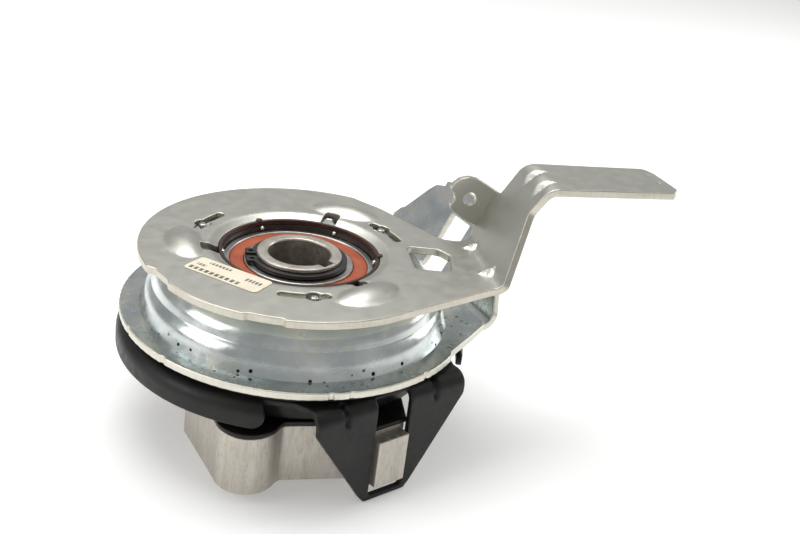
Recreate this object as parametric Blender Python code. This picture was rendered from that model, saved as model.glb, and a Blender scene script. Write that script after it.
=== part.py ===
"""Blade-brake clutch for a vertical-shaft mower engine, worked by a ball-ramp lever.

Metres, +Z up. The crankshaft axis is the Z axis, the legs of the blade carrier end at z = 0,
and the engine is above. The lever arm points along +X.
"""

import math

import bmesh
import bpy
from mathutils import Vector
from mathutils.geometry import delaunay_2d_cdt

MM = 0.001

# Heights of the main faces above the foot of the carrier legs, in millimetres.
LEVER_TOP = 78.5
LEVER_THICK = 3.2
CAM_TOP = 73.4
CAM_THICK = 3.0
FLANGE_MID = 50.9
BEARING_TOP = 72.8
HUB_TOP = 76.7
HUB_FOOT = 5.0
ADAPTOR_FOOT = 4.5
ADAPTOR_TOP = 29.5
CARRIER_THICK = 2.5

# Radii on the crankshaft axis.
BORE_R = 12.7
HUB_R = 17.45
BEARING_R = 31.0
BEARING_WIDE = 14.0
LEVER_R = 65.0
LEVER_OPENING_R = 33.0
OPENING_DISH = 4.5
FLANGE_R = 71.4

# Three of each of these round the lever plate, a third of a turn apart.
DOME_AZ = -53.0
DOME_R = 46.8
PIN_AZ = -80.6
PIN_R = 43.9
NOTCH_AZ = -49.0
RAMP_BALL_R = 3.0

# Lever arm: heading of the arm, its first bend, its rise and its top portion.
ARM_AZ = 11.0
ARM_BEND_AT = 72.5
ARM_SLOPE = 63.0
ARM_RISE = 37.3
ARM_BEND_R = 6.0
EAR_SIDE = 15.5

# Anti-rotation bracket of the cam plate.
BRACKET_AZ = 25.0
BRACKET_AT = 71.5
BRACKET_SLOPE = 63.0
BRACKET_BEND_R = 6.0

# Carrier legs and adaptor lugs share one direction, the adaptor bosses another.
LEG_AZ = -53.0
BOSS_AZ = -103.0
LEG_BEND_AT = 64.4
LEG_BEND_R = 4.35
CARRIER_RIM_AT = 67.0

OBJECTS = {}


def clear_scene():
    for obj in list(bpy.data.objects):
        bpy.data.objects.remove(obj, do_unlink=True)


def material(name, colour, roughness, metallic):
    """A plain surface; slots with the same name are shared."""
    found = bpy.data.materials.get(name)
    if found:
        return found
    made = bpy.data.materials.new(name)
    made.use_nodes = True
    shader = made.node_tree.nodes["Principled BSDF"]
    shader.inputs["Base Color"].default_value = (*colour, 1.0)
    shader.inputs["Roughness"].default_value = roughness
    shader.inputs["Metallic"].default_value = metallic
    return made


ZINC_WARM = ("zinc_lever", (0.50, 0.48, 0.43), 0.38, 1.0)
ZINC_BLUE = ("zinc_cam", (0.58, 0.62, 0.63), 0.28, 1.0)
BLACK_COAT = ("black_coat", (0.020, 0.021, 0.020), 0.40, 0.0)
ALUMINIUM = ("extruded_aluminium", (0.60, 0.57, 0.52), 0.45, 1.0)
BRIGHT_STEEL = ("bearing_steel", (0.55, 0.55, 0.54), 0.25, 1.0)
SINTERED = ("sintered_steel", (0.42, 0.39, 0.35), 0.45, 1.0)
DARK_STEEL = ("dark_steel", (0.07, 0.07, 0.075), 0.45, 0.6)
SEAL_RUBBER = ("seal_rubber", (0.45, 0.09, 0.04), 0.55, 0.0)
BUSH_RESIN = ("bush_resin", (0.06, 0.022, 0.016), 0.55, 0.0)
FRICTION = ("friction_lining", (0.09, 0.075, 0.06), 0.85, 0.0)
PRESSED_STEEL = ("pressed_steel", (0.30, 0.30, 0.31), 0.40, 1.0)
SPRING_STEEL = ("spring_steel", (0.16, 0.16, 0.17), 0.35, 1.0)
LABEL_PAPER = ("label_paper", (0.82, 0.78, 0.68), 0.55, 0.0)


def add_object(name, points, faces, slot):
    """One closed mesh from points in millimetres, its normals turned outwards."""
    mesh = bpy.data.meshes.new(name)
    mesh.from_pydata([tuple(c * MM for c in p) for p in points], [], faces)
    shape = bmesh.new()
    shape.from_mesh(mesh)
    loose = [v for v in shape.verts if not v.link_faces]
    bmesh.ops.delete(shape, geom=loose, context="VERTS")
    bmesh.ops.recalc_face_normals(shape, faces=shape.faces)
    shape.to_mesh(mesh)
    shape.free()
    mesh.materials.append(material(*slot))
    obj = bpy.data.objects.new(name, mesh)
    bpy.context.scene.collection.objects.link(obj)
    OBJECTS[name] = obj
    return obj


def polar(radius, azimuth):
    a = math.radians(azimuth)
    return (radius * math.cos(a), radius * math.sin(a))


def turned(point, azimuth):
    """A point given along and across a heading, in plan."""
    a = math.radians(azimuth)
    along, across = point
    return (
        along * math.cos(a) - across * math.sin(a),
        along * math.sin(a) + across * math.cos(a),
    )


def local(point, azimuth):
    return turned(point, -azimuth)


def arc(radius, first, last, steps):
    return [polar(radius, first + (last - first) * i / steps) for i in range(steps + 1)]


def circle(radius, steps, centre=(0.0, 0.0)):
    ring = arc(radius, 0, 360, steps)[:-1]
    return [(x + centre[0], y + centre[1]) for x, y in ring]


def rounded(corners, steps=4):
    """A polygon whose corners (x, y, radius) are rounded off."""
    made = []
    count = len(corners)
    for i, (x, y, radius) in enumerate(corners):
        here = Vector((x, y))
        before = Vector(corners[i - 1][:2]) - here
        after = Vector(corners[(i + 1) % count][:2]) - here
        if radius <= 0:
            made.append((x, y))
            continue
        a, b = before.normalized(), after.normalized()
        half = math.acos(max(-1.0, min(1.0, a.dot(b)))) / 2
        reach = min(radius / math.tan(half), before.length * 0.49, after.length * 0.49)
        start, end = here + a * reach, here + b * reach
        for k in range(steps + 1):
            t = k / steps
            curve = start * (1 - t) ** 2 + here * 2 * t * (1 - t) + end * t**2
            made.append((curve.x, curve.y))
    return made


def inside(point, polygon):
    x, y = point
    found = False
    for i, (x1, y1) in enumerate(polygon):
        x2, y2 = polygon[i - 1]
        if (y1 > y) != (y2 > y) and x < (x2 - x1) * (y - y1) / (y2 - y1) + x1:
            found = not found
    return found


def edge_distance(point, polygon):
    best = 1e9
    p = Vector(point)
    for i, corner in enumerate(polygon):
        a, b = Vector(polygon[i - 1]), Vector(corner)
        side = b - a
        t = max(0.0, min(1.0, (p - a).dot(side) / max(side.length_squared, 1e-12)))
        best = min(best, (p - a - side * t).length)
    return best


def sheet(name, outline, holes, inner, place, thick, slot):
    """A plate of even thickness. place(x, y) gives the mid-surface point and its normal."""
    loops = [outline] + holes
    points = [p for loop in loops for p in loop]
    edges = []
    start = 0
    for loop in loops:
        count = len(loop)
        edges += [(start + i, start + (i + 1) % count) for i in range(count)]
        start += count
    for p in inner:
        if inside(p, outline) and not any(inside(p, hole) for hole in holes):
            if min(edge_distance(p, loop) for loop in loops) > 0.7:
                points.append(p)
    flat = delaunay_2d_cdt([Vector(p) for p in points], edges, [], 0, 1e-6)
    verts, tris = flat[0], flat[2]
    kept = []
    for tri in tris:
        a, b, c = (verts[i] for i in tri)
        middle = tuple((a + b + c) / 3)
        if inside(middle, outline) and not any(inside(middle, hole) for hole in holes):
            turn = (b - a).cross(c - a)
            kept.append(tuple(tri) if turn > 0 else tuple(reversed(tri)))
    count = len(verts)
    top, bottom = [], []
    for vert in verts:
        position, normal = place(vert.x, vert.y)
        top.append(tuple(position + normal * thick / 2))
        bottom.append(tuple(position - normal * thick / 2))
    faces = list(kept) + [tuple(i + count for i in reversed(tri)) for tri in kept]
    ends = {(tri[i], tri[(i + 1) % 3]) for tri in kept for i in range(3)}
    for a, b in ends:
        if (b, a) not in ends:
            faces.append((b, a, a + count, b + count))
    return add_object(name, top + bottom, faces, slot)


def slab(name, outline, holes, low, high, slot):
    """A plate that lies flat between two heights."""
    middle = (low + high) / 2

    def place(x, y):
        return Vector((x, y, middle)), Vector((0, 0, 1))

    return sheet(name, outline, holes, [], place, high - low, slot)


def lathe(name, profile, slot, steps=32):
    """A ring from a closed outline of (radius, height) turned round Z."""
    points, faces = [], []
    count = len(profile)
    for i in range(steps):
        a = 2 * math.pi * i / steps
        points += [(r * math.cos(a), r * math.sin(a), z) for r, z in profile]
    for i in range(steps):
        for k in range(count):
            m, n = (i + 1) % steps, (k + 1) % count
            faces.append((i * count + k, i * count + n, m * count + n, m * count + k))
    return add_object(name, points, faces, slot)


def tube(name, inner, outer, low, high, slot, steps=36):
    return lathe(name, [(inner, low), (outer, low), (outer, high), (inner, high)], slot, steps)


def ball(name, centre, radius, slot, across=12, rings=8):
    points = [(centre[0], centre[1], centre[2] + radius)]
    for i in range(1, rings):
        tilt = math.pi * i / rings
        for k in range(across):
            a = 2 * math.pi * k / across
            points.append((
                centre[0] + radius * math.sin(tilt) * math.cos(a),
                centre[1] + radius * math.sin(tilt) * math.sin(a),
                centre[2] + radius * math.cos(tilt),
            ))
    points.append((centre[0], centre[1], centre[2] - radius))
    last = len(points) - 1
    faces = []
    for k in range(across):
        n = (k + 1) % across
        faces.append((0, 1 + k, 1 + n))
        faces.append((last, last - across + n, last - across + k))
        for i in range(rings - 2):
            a, b = 1 + i * across, 1 + (i + 1) * across
            faces.append((a + k, b + k, b + n, a + n))
    return add_object(name, points, faces, slot)


def upright(name, centre, profile, slot, steps=20):
    """A turned solid such as a pin or a screw, its (radius, height) profile on an axis off Z."""
    points, faces = [], []
    count = len(profile)
    for i in range(steps):
        a = 2 * math.pi * i / steps
        for r, z in profile:
            points.append((centre[0] + r * math.cos(a), centre[1] + r * math.sin(a), z))
    for i in range(steps):
        m = (i + 1) % steps
        for k in range(count - 1):
            faces.append((i * count + k, i * count + k + 1, m * count + k + 1, m * count + k))
    faces.append(tuple(i * count for i in range(steps)))
    faces.append(tuple(i * count + count - 1 for i in reversed(range(steps))))
    return add_object(name, points, faces, slot)


def boolean(target, other, operation):
    """Joins or cuts with a helper that isn't part of the object."""
    modifier = target.modifiers.new(operation.lower(), "BOOLEAN")
    modifier.operation = operation
    modifier.solver = "EXACT"
    modifier.object = other
    other.hide_render = True
    other.display_type = "WIRE"


def smooth_step(value):
    value = max(0.0, min(1.0, value))
    return value * value * (3 - 2 * value)


def dome(x, y, azimuths, half_wide, half_long, skew=0.0):
    """Height, from 0 to 1, of the oval domes that hold the ramp balls."""
    best = 0.0
    for azimuth in azimuths:
        lx, ly = local((x, y), azimuth)
        swing = math.atan2(ly, lx) * DOME_R
        across = (math.hypot(lx, ly) - DOME_R + skew * swing) / half_wide
        along = swing / half_long
        best = max(best, 1 - across**2 - along**2)
    return best


def dome_points(azimuths, half_wide, half_long, skew=0.0):
    """Points on rings of the oval, with its rim doubled so that it stays crisp."""
    found = []
    for azimuth in azimuths:
        for share, count in ((0.0, 1), (0.3, 6), (0.6, 12), (0.85, 18), (1.0, 24)):
            for px, py in circle(share, count):
                swing = half_long * py
                radius = DOME_R + half_wide * px - skew * swing
                found.append(polar(radius, azimuth + math.degrees(swing / DOME_R)))
    return found


def thirds(azimuth):
    return [azimuth, azimuth + 120, azimuth + 240]


def slot_outline(azimuth):
    """Keyhole slot: a short stub, a round bulge at the pin and a long tail."""
    half = 1.95
    bulge = 3.9
    made = arc(PIN_R + half, azimuth + 6.6, azimuth + 5.6, 1)
    cx, cy = polar(PIN_R, azimuth)
    for turn in range(-60, -121, -15):
        made.append(polar_about(cx, cy, bulge, azimuth + turn + 90))
    made += arc(PIN_R + half, azimuth - 6.5, azimuth - 17.2, 4)
    made += arc(PIN_R - half, azimuth - 17.2, azimuth - 6.5, 4)
    for turn in range(-120, -61, 15):
        made.append(polar_about(cx, cy, bulge, azimuth - turn - 270))
    made += arc(PIN_R - half, azimuth + 5.6, azimuth + 6.6, 1)
    return made


def polar_about(cx, cy, radius, azimuth):
    x, y = polar(radius, azimuth)
    return (cx + x, cy + y)


def opening_outline():
    """The round opening of the lever plate with its three square notches."""
    made = []
    sides = (34.5, 36.0, 37.5, 40.4)
    for azimuth in thirds(NOTCH_AZ):
        half = math.degrees(math.asin(3.5 / LEVER_OPENING_R))
        made += arc(LEVER_OPENING_R, azimuth - 120 + half, azimuth - half, 18)
        made += [turned((along, -3.5), azimuth) for along in sides]
        made += [turned((along, 3.5), azimuth) for along in reversed(sides)]
    return made


def lever_outline():
    """Round plate, its two shallow edge recesses, and the arm drawn out flat."""
    made = []
    for azimuth in range(-56, -291, -4):
        radius = LEVER_R
        if -107 < azimuth < -91:
            radius = LEVER_R - 1.5
        if -152 < azimuth < -136:
            radius = LEVER_R - 2.4
        made.append(polar(radius, azimuth))
    made.reverse()
    front = [
        (ARM_BEND_AT, -36.5), (78.1, -36.6), (96.7, -24.8), (103.0, -20.8), (106.6, -19.8),
        (115.0, -21.5), (120.2, -21.9), (170.7, -21.5), (173.2, -20.0), (174.1, -17.2),
        (171.6, 0.2), (169.8, 4.4), (166.9, 6.5), (142.0, 7.0), (120.0, 7.8), (113.8, 9.4),
        (102.4, 11.0), (100.2, 15.3), (82.7, 15.3), (78.1, 11.6), (ARM_BEND_AT, 10.2),
    ]
    tip = [turned(p, ARM_AZ) for p in front]
    back = [(66.5, 22.8), (61.5, 23.2), (58.0, 25.0), (45.8, 38.5), (34.0, 51.5), (25.0, 58.5)]
    return tip + back + made


def arm_place(x, y):
    """Bends the flat arm up and then level again."""
    along, across = local((x, y), ARM_AZ)
    slope = math.radians(ARM_SLOPE)
    bend = ARM_BEND_R * slope
    straight = (ARM_RISE - 2 * ARM_BEND_R * (1 - math.cos(slope))) / math.sin(slope)
    beyond = along - ARM_BEND_AT
    if beyond <= 0:
        return along, across, 0.0, 0.0
    if beyond <= bend:
        a = beyond / ARM_BEND_R
        return ARM_BEND_AT + ARM_BEND_R * math.sin(a), across, ARM_BEND_R * (1 - math.cos(a)), a
    p = ARM_BEND_AT + ARM_BEND_R * math.sin(slope)
    z = ARM_BEND_R * (1 - math.cos(slope))
    if beyond <= bend + straight:
        more = beyond - bend
        return p + more * math.cos(slope), across, z + more * math.sin(slope), slope
    p += straight * math.cos(slope)
    z += straight * math.sin(slope)
    more = beyond - bend - straight
    if more <= bend:
        a = slope - more / ARM_BEND_R
        turn = math.sin(slope) - math.sin(a)
        return p + ARM_BEND_R * turn, across, z + ARM_BEND_R * (math.cos(a) - math.cos(slope)), a
    p += ARM_BEND_R * math.sin(slope) + more - bend
    return p, across, ARM_RISE, 0.0


def lever_place(x, y):
    p, s, z, slope = arm_place(x, y)
    px, py = turned((p, s), ARM_AZ)
    nx, ny = turned((-math.sin(slope), 0.0), ARM_AZ)
    lift = 2.6 * dome(x, y, thirds(DOME_AZ), 7.8, 15.0, 0.1)
    lift -= 1.5 * (1 - smooth_step((math.hypot(x, y) - LEVER_OPENING_R) / OPENING_DISH))
    level = LEVER_TOP - LEVER_THICK / 2
    return Vector((px, py, level + z + lift)), Vector((nx, ny, math.cos(slope)))


def arm_rows():
    slope = math.radians(ARM_SLOPE)
    bend = ARM_BEND_R * slope
    straight = (ARM_RISE - 2 * ARM_BEND_R * (1 - math.cos(slope))) / math.sin(slope)
    starts = [bend * i / 4 for i in range(5)]
    starts += [bend + straight + bend * i / 4 for i in range(5)]
    found = []
    for start in starts:
        for across in range(-33, 13, 6):
            found.append(turned((ARM_BEND_AT + start, across), ARM_AZ))
    return found


def with_crossings(outline, azimuth, stations):
    """The same outline with a point wherever it crosses one of the stations along a heading."""
    made = []
    for i, point in enumerate(outline):
        previous = outline[i - 1]
        a, b = local(previous, azimuth)[0], local(point, azimuth)[0]
        cuts = [s for s in stations if min(a, b) + 0.05 < s < max(a, b) - 0.05]
        cuts.sort(reverse=a > b)
        for s in cuts:
            t = (s - a) / (b - a)
            made.append((
                previous[0] + (point[0] - previous[0]) * t,
                previous[1] + (point[1] - previous[1]) * t,
            ))
        made.append(point)
    return made


def ear_helper():
    """The eared flange on the rising part of the arm, square to it, with its cable hole."""
    slope = math.radians(ARM_SLOPE)
    outline = [
        (7.5, -1.0), (7.5, 2.4), (7.2, 8.6), (8.1, 14.8), (9.7, 16.5), (13.3, 16.2), (15.0, 18.0),
        (16.2, 20.6), (18.8, 20.7), (22.1, 19.2), (24.4, 16.4), (25.4, 12.7), (25.3, 7.0), (24.6, -1.0),
    ]
    hole = [(16.3 + x, 10.6 + y) for x, y in circle(2.9, 16)]
    crease = ARM_BEND_AT + ARM_BEND_R * math.tan(slope / 2)

    def place(u, n):
        p = crease + u * math.cos(slope) - n * math.sin(slope)
        z = LEVER_TOP - LEVER_THICK / 2 + u * math.sin(slope) + n * math.cos(slope)
        px, py = turned((p, EAR_SIDE), ARM_AZ)
        nx, ny = turned((0.0, 1.0), ARM_AZ)
        return Vector((px, py, z)), Vector((nx, ny, 0.0))

    return sheet("ear_helper", outline, [hole], [], place, 3.0, ZINC_WARM)


def make_lever_plate():
    slope = math.radians(ARM_SLOPE)
    bend = ARM_BEND_R * slope
    straight = (ARM_RISE - 2 * ARM_BEND_R * (1 - math.cos(slope))) / math.sin(slope)
    starts = [bend * i / 4 for i in range(5)]
    starts += [bend + straight + bend * i / 4 for i in range(5)]
    outline = with_crossings(lever_outline(), ARM_AZ, [ARM_BEND_AT + s for s in starts])
    window = rounded([
        (44.2, 11.6, 2.5), (58.0, 11.8, 4.0), (62.4, 6.5, 3.0), (62.2, -9.6, 3.0), (47.2, -9.6, 3.0),
    ])
    holes = [opening_outline(), window] + [slot_outline(a) for a in thirds(PIN_AZ)]
    inner = dome_points(thirds(DOME_AZ), 7.8, 15.0, 0.1) + arm_rows()
    inner += [p for radius in (34.5, 36.0, 37.5) for p in circle(radius, 48)]
    plate = sheet("lever_plate", outline, holes, inner, lever_place, LEVER_THICK, ZINC_WARM)
    boolean(plate, ear_helper(), "UNION")


def make_label():
    outline = rounded([
        (-44.0, -28.6, 1.5), (-15.0, -45.9, 1.5), (-8.6, -35.4, 1.5), (-37.4, -18.4, 1.5),
    ])
    slab("rating_label", outline, [], LEVER_TOP + 0.15, LEVER_TOP + 0.35, LABEL_PAPER)


CAM_PROFILE = [
    (35.9, 71.9), (44.0, 71.9), (49.0, 71.6), (52.5, 70.5), (55.2, 68.3), (57.3, 65.0),
    (58.6, 61.5), (59.2, 58.4), (61.2, 53.8), (62.1, 52.2), (63.6, 51.2), (65.6, 50.9),
]


def on_profile(profile, radius):
    """Height and outward-leaning normal of a turned profile at one radius."""
    if radius >= profile[-1][0]:
        return profile[-1][1], 0.0, 1.0
    if radius <= profile[0][0]:
        return profile[0][1], 0.0, 1.0
    for i in range(1, len(profile)):
        if radius <= profile[i][0] + 1e-6:
            break
    (r1, z1), (r2, z2) = profile[i - 1], profile[i]
    t = (radius - r1) / (r2 - r1)

    def lean(k):
        first = profile[max(0, k - 1)]
        last = profile[min(len(profile) - 1, k + 1)]
        if k in (0, len(profile) - 1):
            return 0.0, 1.0
        rise, run = last[1] - first[1], last[0] - first[0]
        size = math.hypot(rise, run)
        return -rise / size, run / size

    a, b = lean(i - 1), lean(i)
    nr, nz = a[0] + (b[0] - a[0]) * t, a[1] + (b[1] - a[1]) * t
    size = math.hypot(nr, nz)
    return z1 + (z2 - z1) * t, nr / size, nz / size


def bend_at(along, start, radius, slope, turn):
    """Distance and rise of a strip that bends after start; turn is +1 up or -1 down."""
    beyond = along - start
    if beyond <= 0:
        return along, 0.0, 0.0
    if beyond <= radius * slope:
        a = beyond / radius
        return start + radius * math.sin(a), turn * radius * (1 - math.cos(a)), turn * a
    more = beyond - radius * slope
    p = start + radius * math.sin(slope) + more * math.cos(slope)
    z = radius * (1 - math.cos(slope)) + more * math.sin(slope)
    return p, turn * z, turn * slope


def cam_place(x, y):
    radius = math.hypot(x, y)
    height, nr, nz = on_profile(CAM_PROFILE, radius)
    along, across = local((x, y), BRACKET_AZ)
    if along > BRACKET_AT:
        slope = math.radians(BRACKET_SLOPE)
        p, z, tilt = bend_at(along, BRACKET_AT, BRACKET_BEND_R, slope, 1)
        px, py = turned((p, across), BRACKET_AZ)
        nx, ny = turned((-math.sin(tilt), 0.0), BRACKET_AZ)
        return Vector((px, py, FLANGE_MID + z)), Vector((nx, ny, math.cos(tilt)))
    drop = 3.7 * dome(x, y, thirds(DOME_AZ + 7.0), 7.0, 14.0)
    normal = Vector((nr * x / radius, nr * y / radius, nz))
    return Vector((x, y, height - drop)), normal


def cam_outline():
    """Round flange with the bracket drawn out flat beyond its bend."""
    at = BRACKET_AT
    bracket = [
        (46.2, -53.2, 0), (61.7, -43.0, 0), (at, -36.0, 0), (at + 8, -34.5, 0), (at + 16, -28.0, 6),
        (at + 37, -14.0, 6), (at + 43, -4.0, 5), (114.6, 34.7, 1), (112.6, 41.3, 1), (110.5, 40.5, 0.8),
        (108.4, 46.9, 1.2), (105.1, 49.9, 1.5), (90.6, 59.8, 1.5), (89.0, 62.2, 1.2), (84.9, 65.0, 2),
        (78.0, 64.2, 3), (at, 62.0, 0), (60.0, 60.0, 4),
    ]
    made = [turned(p, BRACKET_AZ) for p in rounded(bracket, 2)]
    made += arc(FLANGE_R, 84.0, 333.0, 50)
    return made


def make_cam_plate():
    slope = math.radians(BRACKET_SLOPE)
    bend = BRACKET_BEND_R * slope
    stations = [BRACKET_AT + bend * i / 4 for i in range(5)]
    outline = with_crossings(cam_outline(), BRACKET_AZ, stations)
    gap = [(70.6, 25.6), (102.2, 25.3), (102.6, 9.7), (71.4, 10.5)]
    gap = with_crossings([turned(p, BRACKET_AZ) for p in gap], BRACKET_AZ, stations)
    holes = [circle(35.9, 48), gap]
    holes += [circle(1.95, 10, polar(PIN_R, a)) for a in thirds(PIN_AZ)]
    inner = dome_points(thirds(DOME_AZ + 7.0), 7.0, 14.0)
    for k, (radius, _) in enumerate(CAM_PROFILE[1:]):
        if radius < 50:
            continue
        ring = arc(radius, 0, 360, 44)[:-1]
        inner += [p for p in ring if local(p, BRACKET_AZ)[0] < BRACKET_AT - 1]
    inner += [p for p in arc(45.5, 0, 360, 40)[:-1] if dome(*p, thirds(DOME_AZ + 7.0), 7, 14) == 0]
    for station in stations:
        inner += [turned((station, s), BRACKET_AZ) for s in range(-32, 60, 8)]
    sheet("cam_plate", outline, holes, inner, cam_place, CAM_THICK, ZINC_BLUE)


CARRIER_PROFILE = [
    (26.0, 33.35), (55.0, 33.35), (58.0, 34.1), (60.0, 36.6), (61.2, 41.2), (62.6, 44.2), (64.4, 44.95),
]


def carrier_place(x, y):
    for azimuth in (LEG_AZ, LEG_AZ + 180):
        along, across = local((x, y), azimuth)
        if along > LEG_BEND_AT and abs(across) < 41.5 and along > 1.35 * abs(across):
            slope = math.radians(90)
            p, z, tilt = bend_at(along, LEG_BEND_AT, LEG_BEND_R, slope, -1)
            px, py = turned((p, across), azimuth)
            nx, ny = turned((-math.sin(tilt), 0.0), azimuth)
            return Vector((px, py, 44.95 + z)), Vector((nx, ny, math.cos(tilt)))
        if along > 55 and abs(across) < 41.5 and along > 1.35 * abs(across):
            height, nr, nz = on_profile(CARRIER_PROFILE, math.hypot(x, y))
            radius = math.hypot(x, y)
            return Vector((x, y, height)), Vector((nr * x / radius, nr * y / radius, nz))
    radius = math.hypot(x, y)
    if radius > CARRIER_RIM_AT:
        r, z, tilt = bend_at(radius, CARRIER_RIM_AT, 4.2, math.radians(90), -1)
        k = r / radius
        lean = -math.sin(tilt)
        normal = Vector((lean * x / radius, lean * y / radius, math.cos(tilt)))
        return Vector((x * k, y * k, 44.95 + z)), normal
    height, nr, nz = on_profile(CARRIER_PROFILE, radius)
    return Vector((x, y, height)), Vector((nr * x / radius, nr * y / radius, nz))


def carrier_half(azimuth):
    """Half of the flat blank: one leg, then one stretch of rim."""
    foot = LEG_BEND_AT + LEG_BEND_R * math.pi / 2 + 44.95 - LEG_BEND_R - 0.2
    leg = rounded([
        (48.5, -47.0, 0), (56.0, -38.5, 3), (62.0, -36.0, 1), (74.5, -36.0, 3), (foot - 2.5, -12.3, 1),
        (foot, -10.0, 1), (foot, 10.0, 1), (foot - 2.5, 12.3, 1), (74.5, 36.0, 3), (62.0, 36.0, 1),
        (56.0, 38.5, 3), (48.5, 47.0, 0),
    ], 3)
    made = [turned(p, azimuth) for p in leg]
    end = CARRIER_RIM_AT + 4.2 * math.pi / 2 + 5.2
    made += [polar(end - 5, azimuth + 42.5), polar(end - 1.5, azimuth + 43.3)]
    made += arc(end, azimuth + 45.5, azimuth + 134.5, 20)
    made += [polar(end - 1.5, azimuth + 136.7), polar(end - 5, azimuth + 137.5)]
    return made


def make_blade_carrier():
    stations = [LEG_BEND_AT + LEG_BEND_R * math.pi / 2 * i / 4 for i in range(5)]
    outline = carrier_half(LEG_AZ) + carrier_half(LEG_AZ + 180)
    for azimuth in (LEG_AZ, LEG_AZ + 180):
        outline = with_crossings(outline, azimuth, stations)
    holes = [circle(26.0, 40)]
    holes += [circle(3.0, 10, polar(r, a)) for r, a in SCREWS]
    for azimuth in (LEG_AZ, LEG_AZ + 180):
        window = rounded([
            (66.5, -8.2, 1.0), (109.3, -8.2, 1.5), (109.3, 8.2, 1.5), (66.5, 8.2, 1.0),
        ], 2)
        holes.append(with_crossings([turned(p, azimuth) for p in window], azimuth, stations))
    inner = []
    for radius, _ in CARRIER_PROFILE[1:]:
        inner += arc(radius, 0, 360, 36)[:-1]
    for k in range(5):
        radius = CARRIER_RIM_AT + 4.2 * math.pi / 2 * k / 4
        for p in arc(radius, 0, 360, 44)[:-1]:
            if all(local(p, a)[0] < LEG_BEND_AT - 0.5 for a in (LEG_AZ, LEG_AZ + 180)):
                inner.append(p)
    for azimuth in (LEG_AZ, LEG_AZ + 180):
        for station in stations:
            inner += [turned((station, s), azimuth) for s in range(-31, 32, 10)]
    sheet("blade_carrier", outline, holes, inner, carrier_place, CARRIER_THICK, BLACK_COAT)


SCREWS = [(44.5, LEG_AZ), (44.5, LEG_AZ + 180), (43.5, BOSS_AZ), (43.5, BOSS_AZ + 180)]


def adaptor_outline(grow=0.0):
    """Extruded bar with a round boss and a square lug on each side of the hub."""
    made = []
    for turn in (0, 180):
        bx, by = polar(58.6, BOSS_AZ + turn)
        boss = [polar_about(bx, by, 12.2 + grow, a + turn) for a in range(-163, -18, 12)]
        neck = [turned((0.3, -58.0 - grow), turn), turned((26.0, -53.2 - grow), turn)]
        lug = [
            turned((66.5 + grow, -8.7 - grow), LEG_AZ + turn),
            turned((66.5 + grow, 8.7 + grow), LEG_AZ + turn),
        ]
        side = polar(49.4 + grow, 36.0 + turn)
        made += boss + neck + lug + [side]
    return made


def make_blade_adaptor():
    bolts = [circle(4.3, 16, polar(58.6, BOSS_AZ + t)) for t in (0, 180)]
    screws = [circle(2.9, 10, polar(r, a)) for r, a in SCREWS]
    body = slab(
        "blade_adaptor", adaptor_outline(), [circle(27.5, 48)] + bolts + screws,
        ADAPTOR_FOOT, ADAPTOR_TOP, ALUMINIUM,
    )
    seat = upright("seat_helper", (0, 0), [(31.3, 15.0), (31.3, 35.0)], ALUMINIUM, 48)
    boolean(body, seat, "DIFFERENCE")
    for turn in (0, 180):
        tenon = [(60.0, -7.3), (72.2, -7.3), (72.2, 7.3), (60.0, 7.3)]
        outline = [turned(p, LEG_AZ + turn) for p in tenon]
        boolean(body, slab(f"tenon_helper_{turn}", outline, [], 7.0, 27.8, ALUMINIUM), "UNION")
    slab("carrier_cover_plate", adaptor_outline(0.6), [circle(26.5, 40)] + screws, 29.8, 31.8, BLACK_COAT)
    for i, (r, a) in enumerate(SCREWS):
        profile = [(2.5, 18.0), (2.5, 34.9), (4.6, 34.95), (4.6, 38.3), (4.0, 38.9)]
        upright(f"carrier_screw_{i + 1}", polar(r, a), profile, PRESSED_STEEL, 16)


def make_hub():
    profile = [
        (BORE_R + 0.7, HUB_FOOT), (16.8, HUB_FOOT), (HUB_R, HUB_FOOT + 0.7),
        (HUB_R, 12.9), (16.5, 12.95), (16.5, 14.85), (HUB_R, 14.9),
        (HUB_R, 51.3), (23.0, 51.35), (23.0, 58.5), (HUB_R, 58.55),
        (HUB_R, 73.0), (16.5, 73.05), (16.5, 75.15), (HUB_R, 75.2),
        (HUB_R, HUB_TOP - 0.7), (16.8, HUB_TOP), (BORE_R + 0.7, HUB_TOP), (BORE_R, HUB_TOP - 0.7),
        (BORE_R, HUB_FOOT + 0.7),
    ]
    hub = lathe("hub_sleeve", profile, SINTERED, 36)
    key = [turned(p, -39.0) for p in ((5.0, -3.2), (15.5, -3.2), (15.5, 3.2), (5.0, 3.2))]
    boolean(hub, slab("key_helper", key, [], 0.0, 90.0, SINTERED), "DIFFERENCE")


LUG_R = 22.0


def make_circlip(name, low, facing):
    """External retaining ring with two holed lugs."""
    inner = 16.75
    outline = arc(19.8, facing + 17, facing + 343, 36)
    lug = [(LUG_R, -5.8), (LUG_R, -1.4), (inner, -1.4)]
    outline += [turned(p, facing) for p in lug]
    outline += list(reversed(arc(inner, facing + 6, facing + 354, 36)))
    outline += [turned(p, facing) for p in ((inner, 1.4), (LUG_R, 1.4), (LUG_R, 5.8))]
    holes = [
        [turned((19.4 + x, 3.7 * side + y), facing) for x, y in circle(0.95, 10)]
        for side in (-1, 1)
    ]
    slab(name, outline, holes, low, low + 1.6, DARK_STEEL)


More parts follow.
